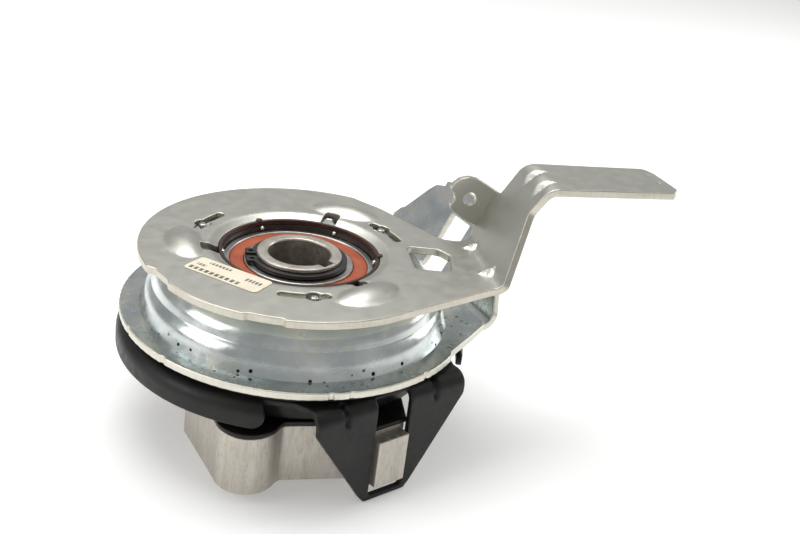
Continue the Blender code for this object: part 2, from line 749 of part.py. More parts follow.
def make_bearing(prefix, top):
    """Deep-groove ball bearing: two rings, balls in their cage, and a seal on each side."""
    low = top - BEARING_WIDE
    mid = top - BEARING_WIDE / 2
    outer = [
        (28.4, low + 0.1), (30.6, low), (BEARING_R, low + 0.4), (BEARING_R, top - 0.4), (30.6, top),
        (28.4, top - 0.1), (28.4, mid + 3.6), (29.7, mid + 2.3), (29.7, mid - 2.3), (28.4, mid - 3.6),
    ]
    inner = [
        (17.75, low + 0.4), (18.15, low), (22.5, low + 0.1), (22.5, mid - 3.6), (21.1, mid - 2.3),
        (21.1, mid + 2.3), (22.5, mid + 3.6), (22.5, top - 0.1), (18.15, top), (17.75, top - 0.4),
    ]
    lathe(f"{prefix}_outer_ring", outer, BRIGHT_STEEL)
    lathe(f"{prefix}_inner_ring", inner, BRIGHT_STEEL)
    for side, base in (("top", top - 1.6), ("bottom", low + 0.4)):
        tube(f"{prefix}_seal_{side}", 22.8, 28.1, base, base + 1.2, SEAL_RUBBER)
    cage = tube(f"{prefix}_ball_cage", 24.5, 26.3, mid - 2.0, mid + 2.0, PRESSED_STEEL, 28)
    for i in range(8):
        x, y = polar(25.4, 45 * i)
        helper = ball(f"{prefix}_helper_{i}", (x, y, mid), 3.9, BRIGHT_STEEL, 8, 6)
        boolean(cage, helper, "UNION")


def make_collar_and_bush():
    collar = [
        (27.3, 57.0), (33.7, 57.0), (33.7, 66.9), (37.6, 66.9), (37.6, 70.0), (33.7, 70.0),
        (33.7, 73.2), (32.05, 73.2), (32.05, 74.9), (31.3, 74.9), (31.3, 58.5), (27.3, 58.5),
    ]
    lathe("bearing_collar", collar, DARK_STEEL, 40)
    bush = [
        (32.25, 73.6), (32.8, 73.6), (32.8, 76.95), (31.5, 76.95), (31.5, 75.1), (32.25, 75.1),
    ]
    lathe("pivot_bush", bush, BUSH_RESIN, 48)


def make_ball_ramp():
    for i, azimuth in enumerate(thirds(DOME_AZ + 3.5)):
        x, y = polar(DOME_R, azimuth)
        ball(f"ramp_ball_{i + 1}", (x, y, 74.35), RAMP_BALL_R, BRIGHT_STEEL)
    for i, azimuth in enumerate(thirds(PIN_AZ)):
        profile = [(3.0, 68.9), (3.0, 70.0), (1.6, 70.05), (1.6, 78.0), (1.3, 78.3)]
        upright(f"stop_pin_{i + 1}", polar(PIN_R, azimuth), profile, BRIGHT_STEEL, 18)


def make_clutch_stack():
    tube("drive_plate", 17.8, 56.0, 48.0, 51.0, PRESSED_STEEL, 40)
    tube("clutch_lining", 36.0, 54.5, 45.0, 47.7, FRICTION, 40)
    tube("pressure_plate", 26.5, 54.5, 40.2, 43.7, PRESSED_STEEL, 40)
    tube("hub_spacer", 17.8, 21.5, 29.6, 47.7, PRESSED_STEEL, 28)
    for i, azimuth in enumerate(thirds(30.0)):
        outline = arc(67.5, azimuth - 40, azimuth + 40, 16)
        outline += list(reversed(arc(61.5, azimuth - 40, azimuth + 40, 16)))
        slab(f"brake_pad_{i + 1}", outline, [], 46.6, 49.1, FRICTION)


def make_spring(name, centre, low, high, radius, wire, turns):
    """Coil spring with closed ends."""
    around, sides = 12, 6
    steps = int(turns * around)
    points, faces = [], []
    for i in range(steps + 1):
        a = 2 * math.pi * i / around
        z = low + wire + (high - low - 2 * wire) * i / steps
        for k in range(sides):
            b = 2 * math.pi * k / sides
            r = radius + wire * math.cos(b)
            x, y = centre[0] + r * math.cos(a), centre[1] + r * math.sin(a)
            points.append((x, y, z + wire * math.sin(b)))
    for i in range(steps):
        for k in range(sides):
            n = (k + 1) % sides
            a, b = i * sides, (i + 1) * sides
            faces.append((a + k, a + n, b + n, b + k))
    faces.append(tuple(range(sides)))
    faces.append(tuple(steps * sides + k for k in range(sides)))
    add_object(name, points, faces, SPRING_STEEL)


def make_springs():
    for i, azimuth in enumerate((-78.0, 12.0, 102.0, 192.0)):
        make_spring(f"clutch_spring_{i + 1}", polar(41.0, azimuth), 34.9, 39.9, 6.0, 0.6, 2.5)


def main():
    clear_scene()
    make_lever_plate()
    make_label()
    make_cam_plate()
    make_ball_ramp()
    make_collar_and_bush()
    make_bearing("upper_bearing", BEARING_TOP)
    make_bearing("lower_bearing", 29.2)
    make_hub()
    make_circlip("upper_circlip", 73.3, 188.0)
    make_circlip("lower_circlip", 13.1, 40.0)
    make_clutch_stack()
    make_springs()
    make_blade_carrier()
    make_blade_adaptor()


main()
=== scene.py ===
# Looks for the ball-ramp blade clutch. Shapes are written in millimetres in the part's own frame:
# the crankshaft axis is Z, the carrier legs stand near z = 0 and the lever arm points along +X.

import math

import bmesh
import bpy
import numpy as np
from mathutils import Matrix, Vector
from mathutils.geometry import delaunay_2d_cdt


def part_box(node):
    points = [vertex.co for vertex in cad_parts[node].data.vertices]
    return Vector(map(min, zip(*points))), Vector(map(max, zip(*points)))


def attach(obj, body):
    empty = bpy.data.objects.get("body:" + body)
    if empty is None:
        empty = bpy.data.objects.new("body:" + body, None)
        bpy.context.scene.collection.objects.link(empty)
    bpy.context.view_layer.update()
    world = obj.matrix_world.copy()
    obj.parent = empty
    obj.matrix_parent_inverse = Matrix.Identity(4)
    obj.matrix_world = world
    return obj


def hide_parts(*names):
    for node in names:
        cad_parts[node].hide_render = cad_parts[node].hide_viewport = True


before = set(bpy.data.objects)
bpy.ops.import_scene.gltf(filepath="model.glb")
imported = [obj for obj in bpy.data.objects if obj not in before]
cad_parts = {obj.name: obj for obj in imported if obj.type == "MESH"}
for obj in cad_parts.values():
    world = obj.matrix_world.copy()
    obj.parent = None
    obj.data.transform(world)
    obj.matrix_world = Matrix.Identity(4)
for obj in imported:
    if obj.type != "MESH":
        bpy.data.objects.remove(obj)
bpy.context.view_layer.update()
MM = 0.001

# Camera at the photograph's viewing angle: metres, degrees and millimetres.
CAMERA_AT = (0.0, -0.44779, 0.27908)
CAMERA_TURN = (65.297, -6.998, -2.109)
CAMERA_LENS = 53.9


# ---------------------------------------------------------------- sizes from the frame

def heights(name):
    """Lowest and highest level of a CAD node in millimetres."""
    low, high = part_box(name)
    return low[2] / MM, high[2] / MM


LEVER_THICK = 3.2
LEVER_TOP = 78.5
CAM_THICK = 3.0
FLANGE_MID = heights("cam_plate")[0] + CAM_THICK / 2
CARRIER_FOOT = heights("blade_carrier")[0]
CARRIER_MID = 44.95
CARRIER_THICK = 2.5
ADAPTOR_FOOT, ADAPTOR_TOP = heights("blade_adaptor")
COVER_FOOT, COVER_TOP = heights("carrier_cover_plate")
HUB_FOOT, HUB_TOP = heights("hub_sleeve")

LEVER_R = 65.0
OPENING_R = 33.0
OPENING_DISH, OPENING_DIP = 4.5, 1.5
EAR_SIDE = 15.5
FLANGE_R = 71.4
CAM_OPENING = 35.9
CARRIER_OPENING = 26.0
BORE_R = 12.7
KEY_HALF, KEY_DEEP = 3.2, 15.5
HUB_R = 17.45
PIN_R = 43.9
DOME_R = 46.8
DOME_AZ = -53.0
CAM_DOME_AZ = DOME_AZ + 7.0
# Half width, half length and skew of the domes, then how far they stand out of each sheet.
LEVER_DOME, LEVER_DOME_RISE = (7.8, 15.0, 0.1), 2.6
CAM_DOME, CAM_DOME_DROP = (7.0, 14.0, 0.0), 3.7
PIN_AZ = -80.6
NOTCH_AZ = -49.0
KEY_AZ = -39.0
ARM_AZ = 11.0
ARM_BEND_AT = 72.5
ARM_RISE = 37.3
BRACKET_AZ = 25.0
BRACKET_AT = 71.5
SLOPE = math.radians(63.0)
BEND_R = 6.0
LEG_AZ = -53.0
LEGS = (LEG_AZ, LEG_AZ + 180)
BOSS_AZ = -103.0
BOSS_AT = 58.6
LEG_BEND_AT = 64.4
LEG_BEND_R = 4.35
RIM_AT = 67.0
RIM_BEND_R = 4.2
RIM_DROP = 5.2
RIM_GAP = 42.5


# ---------------------------------------------------------------- plane geometry

def polar(radius, azimuth):
    a = math.radians(azimuth)
    return (radius * math.cos(a), radius * math.sin(a))


def turned(point, azimuth):
    """A point given along and across a heading, in plan."""
    a = math.radians(azimuth)
    along, across = point
    return (
        along * math.cos(a) - across * math.sin(a),
        along * math.sin(a) + across * math.cos(a),
    )


def headed(points, azimuth):
    """Points, or corners with a radius, given along and across a heading."""
    return [(*turned(p[:2], azimuth), *p[2:]) for p in points]


def local(point, azimuth):
    return turned(point, -azimuth)


def about(centre, radius, azimuth):
    x, y = polar(radius, azimuth)
    return (centre[0] + x, centre[1] + y)


def arc(radius, first, last, steps):
    return [polar(radius, first + (last - first) * i / steps) for i in range(steps + 1)]


def circle(radius, steps, centre=(0.0, 0.0)):
    return [about(centre, radius, 360 * i / steps) for i in range(steps)]


def dotted(radius, row, step):
    """Points all round a circle, half a step further on in every other row."""
    return [polar(radius, step * k + step / 2 * (row % 2)) for k in range(round(360 / step))]


def thirds(azimuth):
    return [azimuth, azimuth + 120, azimuth + 240]


def smooth_step(value):
    value = max(0.0, min(1.0, value))
    return value * value * (3 - 2 * value)


def rounded(corners, steps=6):
    """A polygon whose corners (x, y, radius) are rounded off."""
    made = []
    count = len(corners)
    for i, (x, y, radius) in enumerate(corners):
        here = Vector((x, y))
        before = Vector(corners[i - 1][:2]) - here
        after = Vector(corners[(i + 1) % count][:2]) - here
        if radius <= 0:
            made.append((x, y))
            continue
        a, b = before.normalized(), after.normalized()
        half = math.acos(max(-1.0, min(1.0, a.dot(b)))) / 2
        reach = min(radius / math.tan(half), before.length * 0.49, after.length * 0.49)
        start, end = here + a * reach, here + b * reach
        for k in range(steps + 1):
            t = k / steps
            curve = start * (1 - t) ** 2 + here * 2 * t * (1 - t) + end * t**2
            made.append((curve.x, curve.y))
    return made


def area(loop):
    return sum(a[0] * b[1] - b[0] * a[1] for a, b in zip(loop, loop[1:] + loop[:1])) / 2


def spaced(loop, longest):
    """The same outline with no side longer than that."""
    made = []
    for a, b in zip(loop, loop[1:] + loop[:1]):
        length = math.dist(a, b)
        if length < 1e-4:
            continue
        count = max(1, math.ceil(length / longest))
        for k in range(count):
            t = k / count
            made.append((a[0] + (b[0] - a[0]) * t, a[1] + (b[1] - a[1]) * t))
    return made


# Smallest share of a sharp corner's normal that an inset may divide by.
MITRE_LIMIT = 0.6


def inset(loop, depth):
    """Each point moved to the left of the outline's direction."""
    made = []
    count = len(loop)
    for i, here in enumerate(loop):
        before, after = Vector(loop[i - 1]), Vector(loop[(i + 1) % count])
        a = (Vector(here) - before).normalized()
        b = (after - Vector(here)).normalized()
        normal = Vector((-a.y - b.y, a.x + b.x))
        if normal.length < 1e-6:
            normal = Vector((-a.y, a.x))
        normal.normalize()
        stretch = 1 / max(MITRE_LIMIT, normal.dot(Vector((-a.y, a.x))))
        made.append((here[0] + normal.x * depth * stretch, here[1] + normal.y * depth * stretch))
    return made


def inside(points, loop):
    """Which points lie in a polygon."""
    x, y = points[:, 0], points[:, 1]
    found = np.zeros(len(points), bool)
    for (x1, y1), (x2, y2) in zip(loop, loop[1:] + loop[:1]):
        if y1 == y2:
            continue
        found ^= ((y1 > y) != (y2 > y)) & (x < (x2 - x1) * (y - y1) / (y2 - y1) + x1)
    return found


def edge_distance(points, loop):
    best = np.full(len(points), 1e9)
    for a, b in zip(loop, loop[1:] + loop[:1]):
        a, b = np.array(a), np.array(b)
        side = b - a
        t = np.clip((points - a) @ side / max(side @ side, 1e-12), 0, 1)
        best = np.minimum(best, np.hypot(*(points - a - t[:, None] * side).T))
    return best


def grid(low, high, step, azimuth=0.0):
    """Staggered grid points that cover a box, turned to a heading."""
    found = []
    y, row = low[1], 0
    while y <= high[1]:
        x = low[0] + (step / 2 if row % 2 else 0)
        while x <= high[0]:
            found.append(turned((x, y), azimuth))
            x += step
        y += step * 0.866
        row += 1
    return found


def bend_at(along, start, radius, slope, turn):
    """Distance, rise and tilt of a strip that bends after start; turn is +1 up or -1 down."""
    beyond = along - start
    if beyond <= 0:
        return along, 0.0, 0.0
    if beyond <= radius * slope:
        a = beyond / radius
        return start + radius * math.sin(a), turn * radius * (1 - math.cos(a)), turn * a
    more = beyond - radius * slope
    p = start + radius * math.sin(slope) + more * math.cos(slope)
    z = radius * (1 - math.cos(slope)) + more * math.sin(slope)
    return p, turn * z, turn * slope


def on_strip(section, across, azimuth, level):
    """Point and normal of a bent strip, from its distance, rise and tilt along a heading."""
    p, z, tilt = section
    nx, ny = turned((-math.sin(tilt), 0.0), azimuth)
    return Vector((*turned((p, across), azimuth), level + z)), Vector((nx, ny, math.cos(tilt)))


# ---------------------------------------------------------------- meshes

def add_object(name, data):
    made = bpy.data.objects.new(name, data)
    bpy.context.scene.collection.objects.link(made)
    return made


def finish_mesh(name, points, faces, finishes, kinds=None, sharp=38.0):
    """A piece from points in millimetres, shaded smooth but for its sharp edges."""
    mesh = bpy.data.meshes.new(name)
    mesh.from_pydata([tuple(c * MM for c in p) for p in points], [], faces)
    for finish in finishes:
        mesh.materials.append(MATERIAL[finish])
    if kinds:
        mesh.polygons.foreach_set("material_index", kinds)
    shape = bmesh.new()
    shape.from_mesh(mesh)
    loose = [v for v in shape.verts if not v.link_faces]
    bmesh.ops.delete(shape, geom=loose, context="VERTS")
    bmesh.ops.recalc_face_normals(shape, faces=shape.faces)
    shape.to_mesh(mesh)
    shape.free()
    mesh.polygons.foreach_set("use_smooth", [True] * len(mesh.polygons))
    mesh.set_sharp_from_angle(angle=math.radians(sharp))
    obj = add_object(name, mesh)
    weighted = obj.modifiers.new("even_shading", "WEIGHTED_NORMAL")
    weighted.keep_sharp = True
    weighted.weight = 80
    return obj


EDGE_STEPS = 3
CLEAR_OF_EDGE = 0.45


def plate(name, outline, holes, inner, place, thick, finishes, edge=0.35, longest=2.0):
    """A sheet-metal plate with softened edges.

    place(x, y) gives the mid-surface point and its normal. The second finish is the cut edge.
    """
    loops = []
    for k, loop in enumerate([outline] + holes):
        loop = spaced(loop, longest)
        if (area(loop) > 0) == (k > 0):
            loop.reverse()
        loops.append(loop)
    rings = [inset(loop, edge) for loop in loops]
    inner = np.array(inner)
    keep = inside(inner, rings[0]) & (edge_distance(inner, rings[0]) > CLEAR_OF_EDGE)
    for ring in rings[1:]:
        keep &= ~inside(inner, ring) & (edge_distance(inner, ring) > CLEAR_OF_EDGE)
    points = [p for ring in rings for p in ring] + [tuple(p) for p in inner[keep]]
    edges = []
    start = 0
    for ring in rings:
        edges += [(start + i, start + (i + 1) % len(ring)) for i in range(len(ring))]
        start += len(ring)
    made = delaunay_2d_cdt([Vector(p) for p in points], edges, [], 0, 1e-7)
    flat = np.array([tuple(v) for v in made[0]])
    tris = np.array(made[2])
    middle = flat[tris].mean(axis=1)
    kept = inside(middle, rings[0])
    for ring in rings[1:]:
        kept &= ~inside(middle, ring)
    tris = tris[kept]
    a, b, c = flat[tris[:, 0]], flat[tris[:, 1]], flat[tris[:, 2]]
    turn = (b[:, 0] - a[:, 0]) * (c[:, 1] - a[:, 1]) - (b[:, 1] - a[:, 1]) * (c[:, 0] - a[:, 0])
    tris[turn < 0] = tris[turn < 0][:, ::-1]
    home = {}
    for index, origins in enumerate(made[3]):
        for origin in origins:
            home[origin] = index
    count = len(flat)
    top, bottom = [], []
    for x, y in flat:
        position, normal = place(x, y)
        top.append(tuple(position + normal * thick / 2))
        bottom.append(tuple(position - normal * thick / 2))
    verts = top + bottom
    tris = tris.tolist()
    faces = [tuple(t) for t in tris] + [tuple(i + count for i in t[::-1]) for t in tris]
    kinds = [0] * len(faces)
    start = 0
    for loop, ring in zip(loops, rings):
        size = len(ring)
        rows = [[home[start + i] for i in range(size)]]
        for step in range(1, 2 * EDGE_STEPS + 1):
            lower = step > EDGE_STEPS
            angle = math.pi / 2 * ((2 * EDGE_STEPS + 1 - step) if lower else step) / EDGE_STEPS
            out = math.sin(angle)
            height = thick / 2 - edge * (1 - math.cos(angle))
            row = []
            for i in range(size):
                x = ring[i][0] + (loop[i][0] - ring[i][0]) * out
                y = ring[i][1] + (loop[i][1] - ring[i][1]) * out
                position, normal = place(x, y)
                row.append(len(verts))
                verts.append(tuple(position + normal * (-height if lower else height)))
            rows.append(row)
        rows.append([home[start + i] + count for i in range(size)])
        for upper, lower in zip(rows, rows[1:]):
            for i in range(size):
                k = (i + 1) % size
                faces.append((upper[i], lower[i], lower[k], upper[k]))
                kinds.append(1)
        start += size
    return finish_mesh(name, verts, faces, finishes, kinds)


def flat_place(low, high):
    """Mid-surface of a plate that lies flat between two heights."""
    middle = (low + high) / 2

    def place(x, y):
        return Vector((x, y, middle)), Vector((0, 0, 1))

    return place


def slab(name, outline, holes, low, high, finish, edge=0.35, longest=2.0):
    flat, both = flat_place(low, high), [finish, finish]
    return plate(name, outline, holes, [(0.0, 0.0)], flat, high - low, both, edge, longest)


def soft(profile, radius=0.25):
    """A turned profile with its corners rounded a little."""
    return rounded([(r, z, radius) for r, z in profile], 3)


def ring_faces(steps, count, sides):
    """Faces that join each copy of a profile to the next one round the axis."""
    made = []
    for i in range(steps):
        m = (i + 1) % steps
        for k in range(sides):
            n = (k + 1) % count
            made.append((i * count + k, i * count + n, m * count + n, m * count + k))
    return made


def lathe(name, profile, finish, steps=160):
    """A ring from a closed outline of (radius, height)."""
    points = [(*polar(r, 360 * i / steps), z) for i in range(steps) for r, z in profile]
    faces = ring_faces(steps, len(profile), len(profile))
    return finish_mesh(name, points, faces, [finish])


def upright(name, centre, profile, finish, steps=40):
    """A turned solid such as a pin, its (radius, height) profile on an axis off Z."""
    count = len(profile)
    points = [(*about(centre, r, 360 * i / steps), z) for i in range(steps) for r, z in profile]
    faces = ring_faces(steps, count, count - 1)
    faces.append(tuple(i * count for i in range(steps)))
    faces.append(tuple(i * count + count - 1 for i in reversed(range(steps))))
    return finish_mesh(name, points, faces, [finish])


# ---------------------------------------------------------------- materials

class Look:
    """A material whose nodes work in object coordinates, in metres."""

    def __init__(self, name, roughness=0.4, metallic=0.0):
        self.material = bpy.data.materials.new(name)
        self.material.use_nodes = True
        self.tree = self.material.node_tree
        self.shader = self.tree.nodes["Principled BSDF"]
        self.shader.inputs["Roughness"].default_value = roughness
        self.shader.inputs["Metallic"].default_value = metallic
        self.place = self.node("ShaderNodeTexCoord").outputs["Object"]

    def node(self, kind, **settings):
        made = self.tree.nodes.new(kind)
        for name, value in settings.items():
            setattr(made, name, value)
        return made

    def link(self, source, target):
        self.tree.links.new(source, target)

    def put(self, target, value):
        if hasattr(value, "is_output"):
            self.link(value, target)
        else:
            target.default_value = value

    def stretched(self, x, y, z, turn=0.0):
        made = self.node("ShaderNodeMapping")
        made.inputs["Rotation"].default_value = (0, 0, math.radians(turn))
        made.inputs["Scale"].default_value = (x, y, z)
        self.link(self.place, made.inputs["Vector"])
        return made.outputs["Vector"]

    def noise(self, size, detail=3.0, where=None, distortion=0.0):
        """Cloudy noise whose patches are about that many millimetres across."""
        made = self.node("ShaderNodeTexNoise")
        made.inputs["Scale"].default_value = 1 / (size * MM)
        made.inputs["Detail"].default_value = detail
        made.inputs["Distortion"].default_value = distortion
        self.link(where or self.place, made.inputs["Vector"])
        return made.outputs["Fac"]

    def cells(self, size, where=None):
        made = self.node("ShaderNodeTexVoronoi")
        made.inputs["Scale"].default_value = 1 / (size * MM)
        self.link(where or self.place, made.inputs["Vector"])
        return made.outputs["Distance"]

    def spread(self, value, low, high, to_low=0.0, to_high=1.0):
        made = self.node("ShaderNodeMapRange")
        for name, number in zip(
            ("From Min", "From Max", "To Min", "To Max"), (low, high, to_low, to_high)
        ):
            made.inputs[name].default_value = number
        self.link(value, made.inputs["Value"])
        return made.outputs["Result"]

    def patches(self, size, detail, *levels, distortion=0.0):
        """Noise spread between two levels, onto 0 to 1 unless two more are given."""
        return self.spread(self.noise(size, detail, distortion=distortion), *levels)

    def maths(self, operation, a, b):
        made = self.node("ShaderNodeMath", operation=operation)
        self.put(made.inputs[0], a)
        self.put(made.inputs[1], b)
        return made.outputs["Value"]

    def within(self, value, low, high):
        """1 where the value lies between two numbers, 0 elsewhere."""
        above = self.maths("GREATER_THAN", value, low)
        return self.maths("MULTIPLY", above, self.maths("LESS_THAN", value, high))

    def blend(self, share, a, b):
        made = self.node("ShaderNodeMix", data_type="RGBA")
        self.put(made.inputs["Factor"], share)
        self.put(made.inputs["A"], a if hasattr(a, "is_output") else (*a, 1.0))
        self.put(made.inputs["B"], b if hasattr(b, "is_output") else (*b, 1.0))
        return made.outputs["Result"]

    def axes(self, where=None):
        """X, Y and Z of the object coordinates, or of another vector."""
        split = self.node("ShaderNodeSeparateXYZ")
        self.link(where or self.place, split.inputs["Vector"])
        return [split.outputs[axis] for axis in "XYZ"]

    def wear(self, low=0.52, high=0.62):
        """1 on outward edges, 0 on flat faces."""
        geometry = self.node("ShaderNodeNewGeometry")
        return self.spread(geometry.outputs["Pointiness"], low, high)

    def colour(self, value):
        self.put(self.shader.inputs["Base Color"], value)

    def rough(self, value):
        self.put(self.shader.inputs["Roughness"], value)

    def bump(self, value, deep, strength=0.5):
        """Bump up to that many millimetres deep."""
        made = self.node("ShaderNodeBump")
        made.inputs["Strength"].default_value = strength
        made.inputs["Distance"].default_value = deep * MM
        self.link(value, made.inputs["Height"])
        self.link(made.outputs["Normal"], self.shader.inputs["Normal"])


def zinc(name, pale, dull, stain, rough, grain=0.4):
    """Zinc-plated sheet: soft clouds, faint stains, fine grain and rolling scratches."""
    look = Look(name, rough, 1.0)
    clouds = look.patches(17.0, 4.0, 0.38, 0.64, distortion=0.6)
    stains = look.patches(8.0, 6.0, 0.58, 0.76, 0.0, 0.3, distortion=1.2)
    scratches = look.noise(0.5, 2.0, look.stretched(0.12, 2.2, 1.0, 24))
    fine = look.noise(grain, 3.0)
    tone = look.blend(clouds, dull, pale)
    tone = look.blend(stains, tone, stain)
    specks = look.spread(look.cells(3.4), 0.03, 0.07, 0.5, 0.0)
    tone = look.blend(specks, tone, (0.12, 0.11, 0.09))
    look.colour(tone)
    mottled = look.patches(5.0, 5.0, 0.35, 0.7, rough - 0.025, rough + 0.035)
    look.rough(look.maths("ADD", mottled, look.spread(scratches, 0.3, 0.8, -0.03, 0.05)))
    look.bump(look.maths("ADD", fine, look.maths("MULTIPLY", scratches, 0.6)), 0.015, 0.25)
    return look.material


def cut_edge(name, pale, dull):
    """Sheared or punched edge: vertical tear marks, brighter than the sheet."""
    look = Look(name, 0.45, 1.0)
    tears = look.noise(1.1, 3.0, look.stretched(1.0, 1.0, 0.15))
    band = look.noise(1.6, 3.0, look.stretched(0.1, 0.1, 1.0))
    look.colour(look.blend(look.spread(tears, 0.3, 0.75, 0.2, 0.8), dull, pale))
    look.rough(look.spread(band, 0.3, 0.7, 0.3, 0.52))
    look.bump(look.maths("ADD", tears, band), 0.04, 0.25)
    return look.material


def cam_zinc():
    """Bright blue-white zinc with painted shade: dark spots painted near the foot of the drawn wall."""
    look = Look("zinc_cam_look", 0.22, 1.0)
    clouds = look.patches(22.0, 4.0, 0.36, 0.66, distortion=0.8)
    warm = look.patches(11.0, 5.0, 0.55, 0.72, 0.0, 0.6, distortion=1.5)
    tone = look.blend(clouds, (0.52, 0.57, 0.57), (0.74, 0.77, 0.75))
    tone = look.blend(warm, tone, (0.72, 0.66, 0.50))
    height = look.axes()[2]
    fade_out = look.spread(height, 0.0548, 0.0565, 1.0, 0.0)
    # Painted shade: dark spots in a band near the foot of the drawn wall, where it meets the flange;
    # they also raise the roughness there.
    foot_shade_band = look.maths("MULTIPLY", look.spread(height, 0.0520, 0.0528), fade_out)
    foot_shade_spots = look.maths("MULTIPLY", look.spread(look.cells(4.2), 0.16, 0.22, 1.0, 0.0), foot_shade_band)
    look.colour(look.blend(foot_shade_spots, tone, (0.03, 0.03, 0.03)))
    drawn = look.noise(0.7, 2.0, look.stretched(0.5, 0.5, 2.6))
    look.rough(look.maths("ADD", look.patches(6.0, 5.0, 0.35, 0.7, 0.15, 0.30), foot_shade_spots))
    look.bump(look.maths("ADD", drawn, look.noise(2.6, 3.0)), 0.05, 0.32)
    return look.material


def black_coat():
    """Black dip coating on pressed steel: satin, slightly uneven, rubbed on its edges."""
    look = Look("black_coat_look", 0.42, 0.0)
    clouds = look.patches(14.0, 4.0, 0.35, 0.7)
    tone = look.blend(clouds, (0.006, 0.006, 0.006), (0.012, 0.0115, 0.010))
    worn = look.maths("MULTIPLY", look.wear(0.53, 0.66), look.patches(1.6, 4.0, 0.42, 0.62))
    look.colour(look.blend(worn, tone, (0.045, 0.043, 0.040)))
    look.rough(look.patches(3.0, 5.0, 0.3, 0.75, 0.34, 0.52))
    look.bump(look.noise(0.9, 4.0), 0.035, 0.4)
    look.shader.inputs["Specular IOR Level"].default_value = 0.30
    return look.material


def aluminium():
    """Extruded aluminium, dull, with grain drawn along Z and small stains."""
    look = Look("extruded_aluminium_look", 0.5, 1.0)
    grain = look.noise(0.6, 4.0, look.stretched(1.0, 1.0, 0.12))
    broad = look.noise(4.0, 3.0, look.stretched(1.0, 1.0, 0.08))
    spots = look.patches(1.5, 6.0, 0.56, 0.72, 0.0, 0.45, distortion=0.5)
    tone = look.blend(look.spread(broad, 0.35, 0.66), (0.50, 0.465, 0.41), (0.58, 0.545, 0.49))
    tone = look.blend(look.spread(grain, 0.5, 0.72, 0.0, 0.5), tone, (0.42, 0.39, 0.34))
    look.colour(look.blend(spots, tone, (0.38, 0.35, 0.30)))
    look.rough(look.spread(grain, 0.3, 0.7, 0.42, 0.62))
    look.bump(grain, 0.04, 0.4)
    return look.material


def turned_steel(name, tone_a, tone_b, rough):
    """Machined steel with rings from turning."""
    look = Look(name, rough, 1.0)
    x, y, z = look.axes()
    squared = look.maths("ADD", look.maths("POWER", x, 2.0), look.maths("POWER", y, 2.0))
    radius = look.maths("SQRT", squared, 0.0)
    rings = look.node("ShaderNodeCombineXYZ")
    look.link(radius, rings.inputs["X"])
    look.link(z, rings.inputs["Y"])
    turning = look.noise(0.35, 2.0, rings.outputs["Vector"])
    clouds = look.patches(5.0, 4.0, 0.35, 0.68)
    look.colour(look.blend(clouds, tone_a, tone_b))
    look.rough(look.spread(turning, 0.3, 0.7, rough - 0.08, rough + 0.1))
    look.bump(look.maths("ADD", turning, look.noise(0.5, 2.0)), 0.02, 0.35)
    return look.material


def sintered():
    """Sintered iron hub: light, slightly porous, browned in places."""
    look = Look("sintered_steel_look", 0.42, 1.0)
    clouds = look.patches(6.0, 4.0, 0.35, 0.66)
    brown = look.patches(3.0, 5.0, 0.56, 0.7, 0.0, 0.5, distortion=0.7)
    tone = look.blend(clouds, (0.44, 0.41, 0.36), (0.62, 0.59, 0.53))
    tone = look.blend(brown, tone, (0.36, 0.26, 0.18))
    pores = look.spread(look.cells(0.7), 0.1, 0.2, 0.4, 0.0)
    look.colour(look.blend(pores, tone, (0.10, 0.08, 0.06)))
    look.rough(look.patches(1.2, 4.0, 0.3, 0.7, 0.34, 0.52))
    look.bump(look.noise(0.35, 3.0), 0.03, 0.4)
    return look.material


def plain_surface(name, dark, light, rough, size, deep):
    """Cast or moulded surface with cloudy tone and a fine skin."""
    look = Look(name, rough)
    clouds = look.patches(size, 4.0, 0.35, 0.68)
    look.colour(look.blend(clouds, dark, light))
    look.rough(look.patches(size / 3, 4.0, 0.3, 0.7, rough - 0.08, rough + 0.1))
    look.bump(look.noise(0.5, 4.0), deep, 0.5)
    return look.material


def friction():
    """Pressed friction compound with brass-coloured and dark chips."""
    look = Look("friction_lining_look", 0.85)
    chips = look.spread(look.cells(1.0), 0.1, 0.3, 0.6, 0.0)
    clouds = look.patches(2.0, 6.0, 0.4, 0.64)
    tone = look.blend(clouds, (0.012, 0.011, 0.010), (0.035, 0.030, 0.025))
    look.colour(look.blend(chips, tone, (0.10, 0.075, 0.04)))
    look.rough(look.spread(clouds, 0.0, 1.0, 0.72, 0.95))
    look.bump(look.noise(0.6, 4.0), 0.12, 0.7)
    return look.material


LABEL_TURN = 30.8


def label_paper():
    """Cream paper label with four rows of plain grey bars where print would be."""
    look = Look("label_paper_look", 0.5)
    along, across, _ = look.axes(look.stretched(1.0, 1.0, 1.0, LABEL_TURN))
    rows = None
    for low, high, start, end, word in (
        (-0.0385, -0.0368, -0.0170, -0.0070, 0.0016),
        (-0.0419, -0.0402, -0.0205, -0.0165, 0.0014),
        (-0.0460, -0.0436, -0.0215, 0.0015, 0.0024),
        (-0.0412, -0.0389, 0.0015, 0.0085, 0.0015),
    ):
        place_in_word = look.maths("FRACT", look.maths("DIVIDE", along, word), 0.0)
        bars = look.maths("LESS_THAN", place_in_word, 0.68)
        inside_row = look.within(across, low, high)
        inside_run = look.within(along, start, end)
        mark = look.maths("MULTIPLY", bars, look.maths("MULTIPLY", inside_row, inside_run))
        rows = mark if rows is None else look.maths("MAXIMUM", rows, mark)
    clouds = look.patches(9.0, 4.0, 0.3, 0.7)
    paper = look.blend(clouds, (0.78, 0.70, 0.54), (0.84, 0.77, 0.62))
    faded = look.maths("MULTIPLY", rows, look.patches(0.6, 3.0, 0.3, 0.55, 0.55, 0.95))
    look.colour(look.blend(faded, paper, (0.05, 0.05, 0.05)))
    look.rough(look.patches(1.0, 3.0, 0.3, 0.7, 0.42, 0.58))
    look.bump(look.noise(0.3, 3.0), 0.01, 0.3)
    return look.material


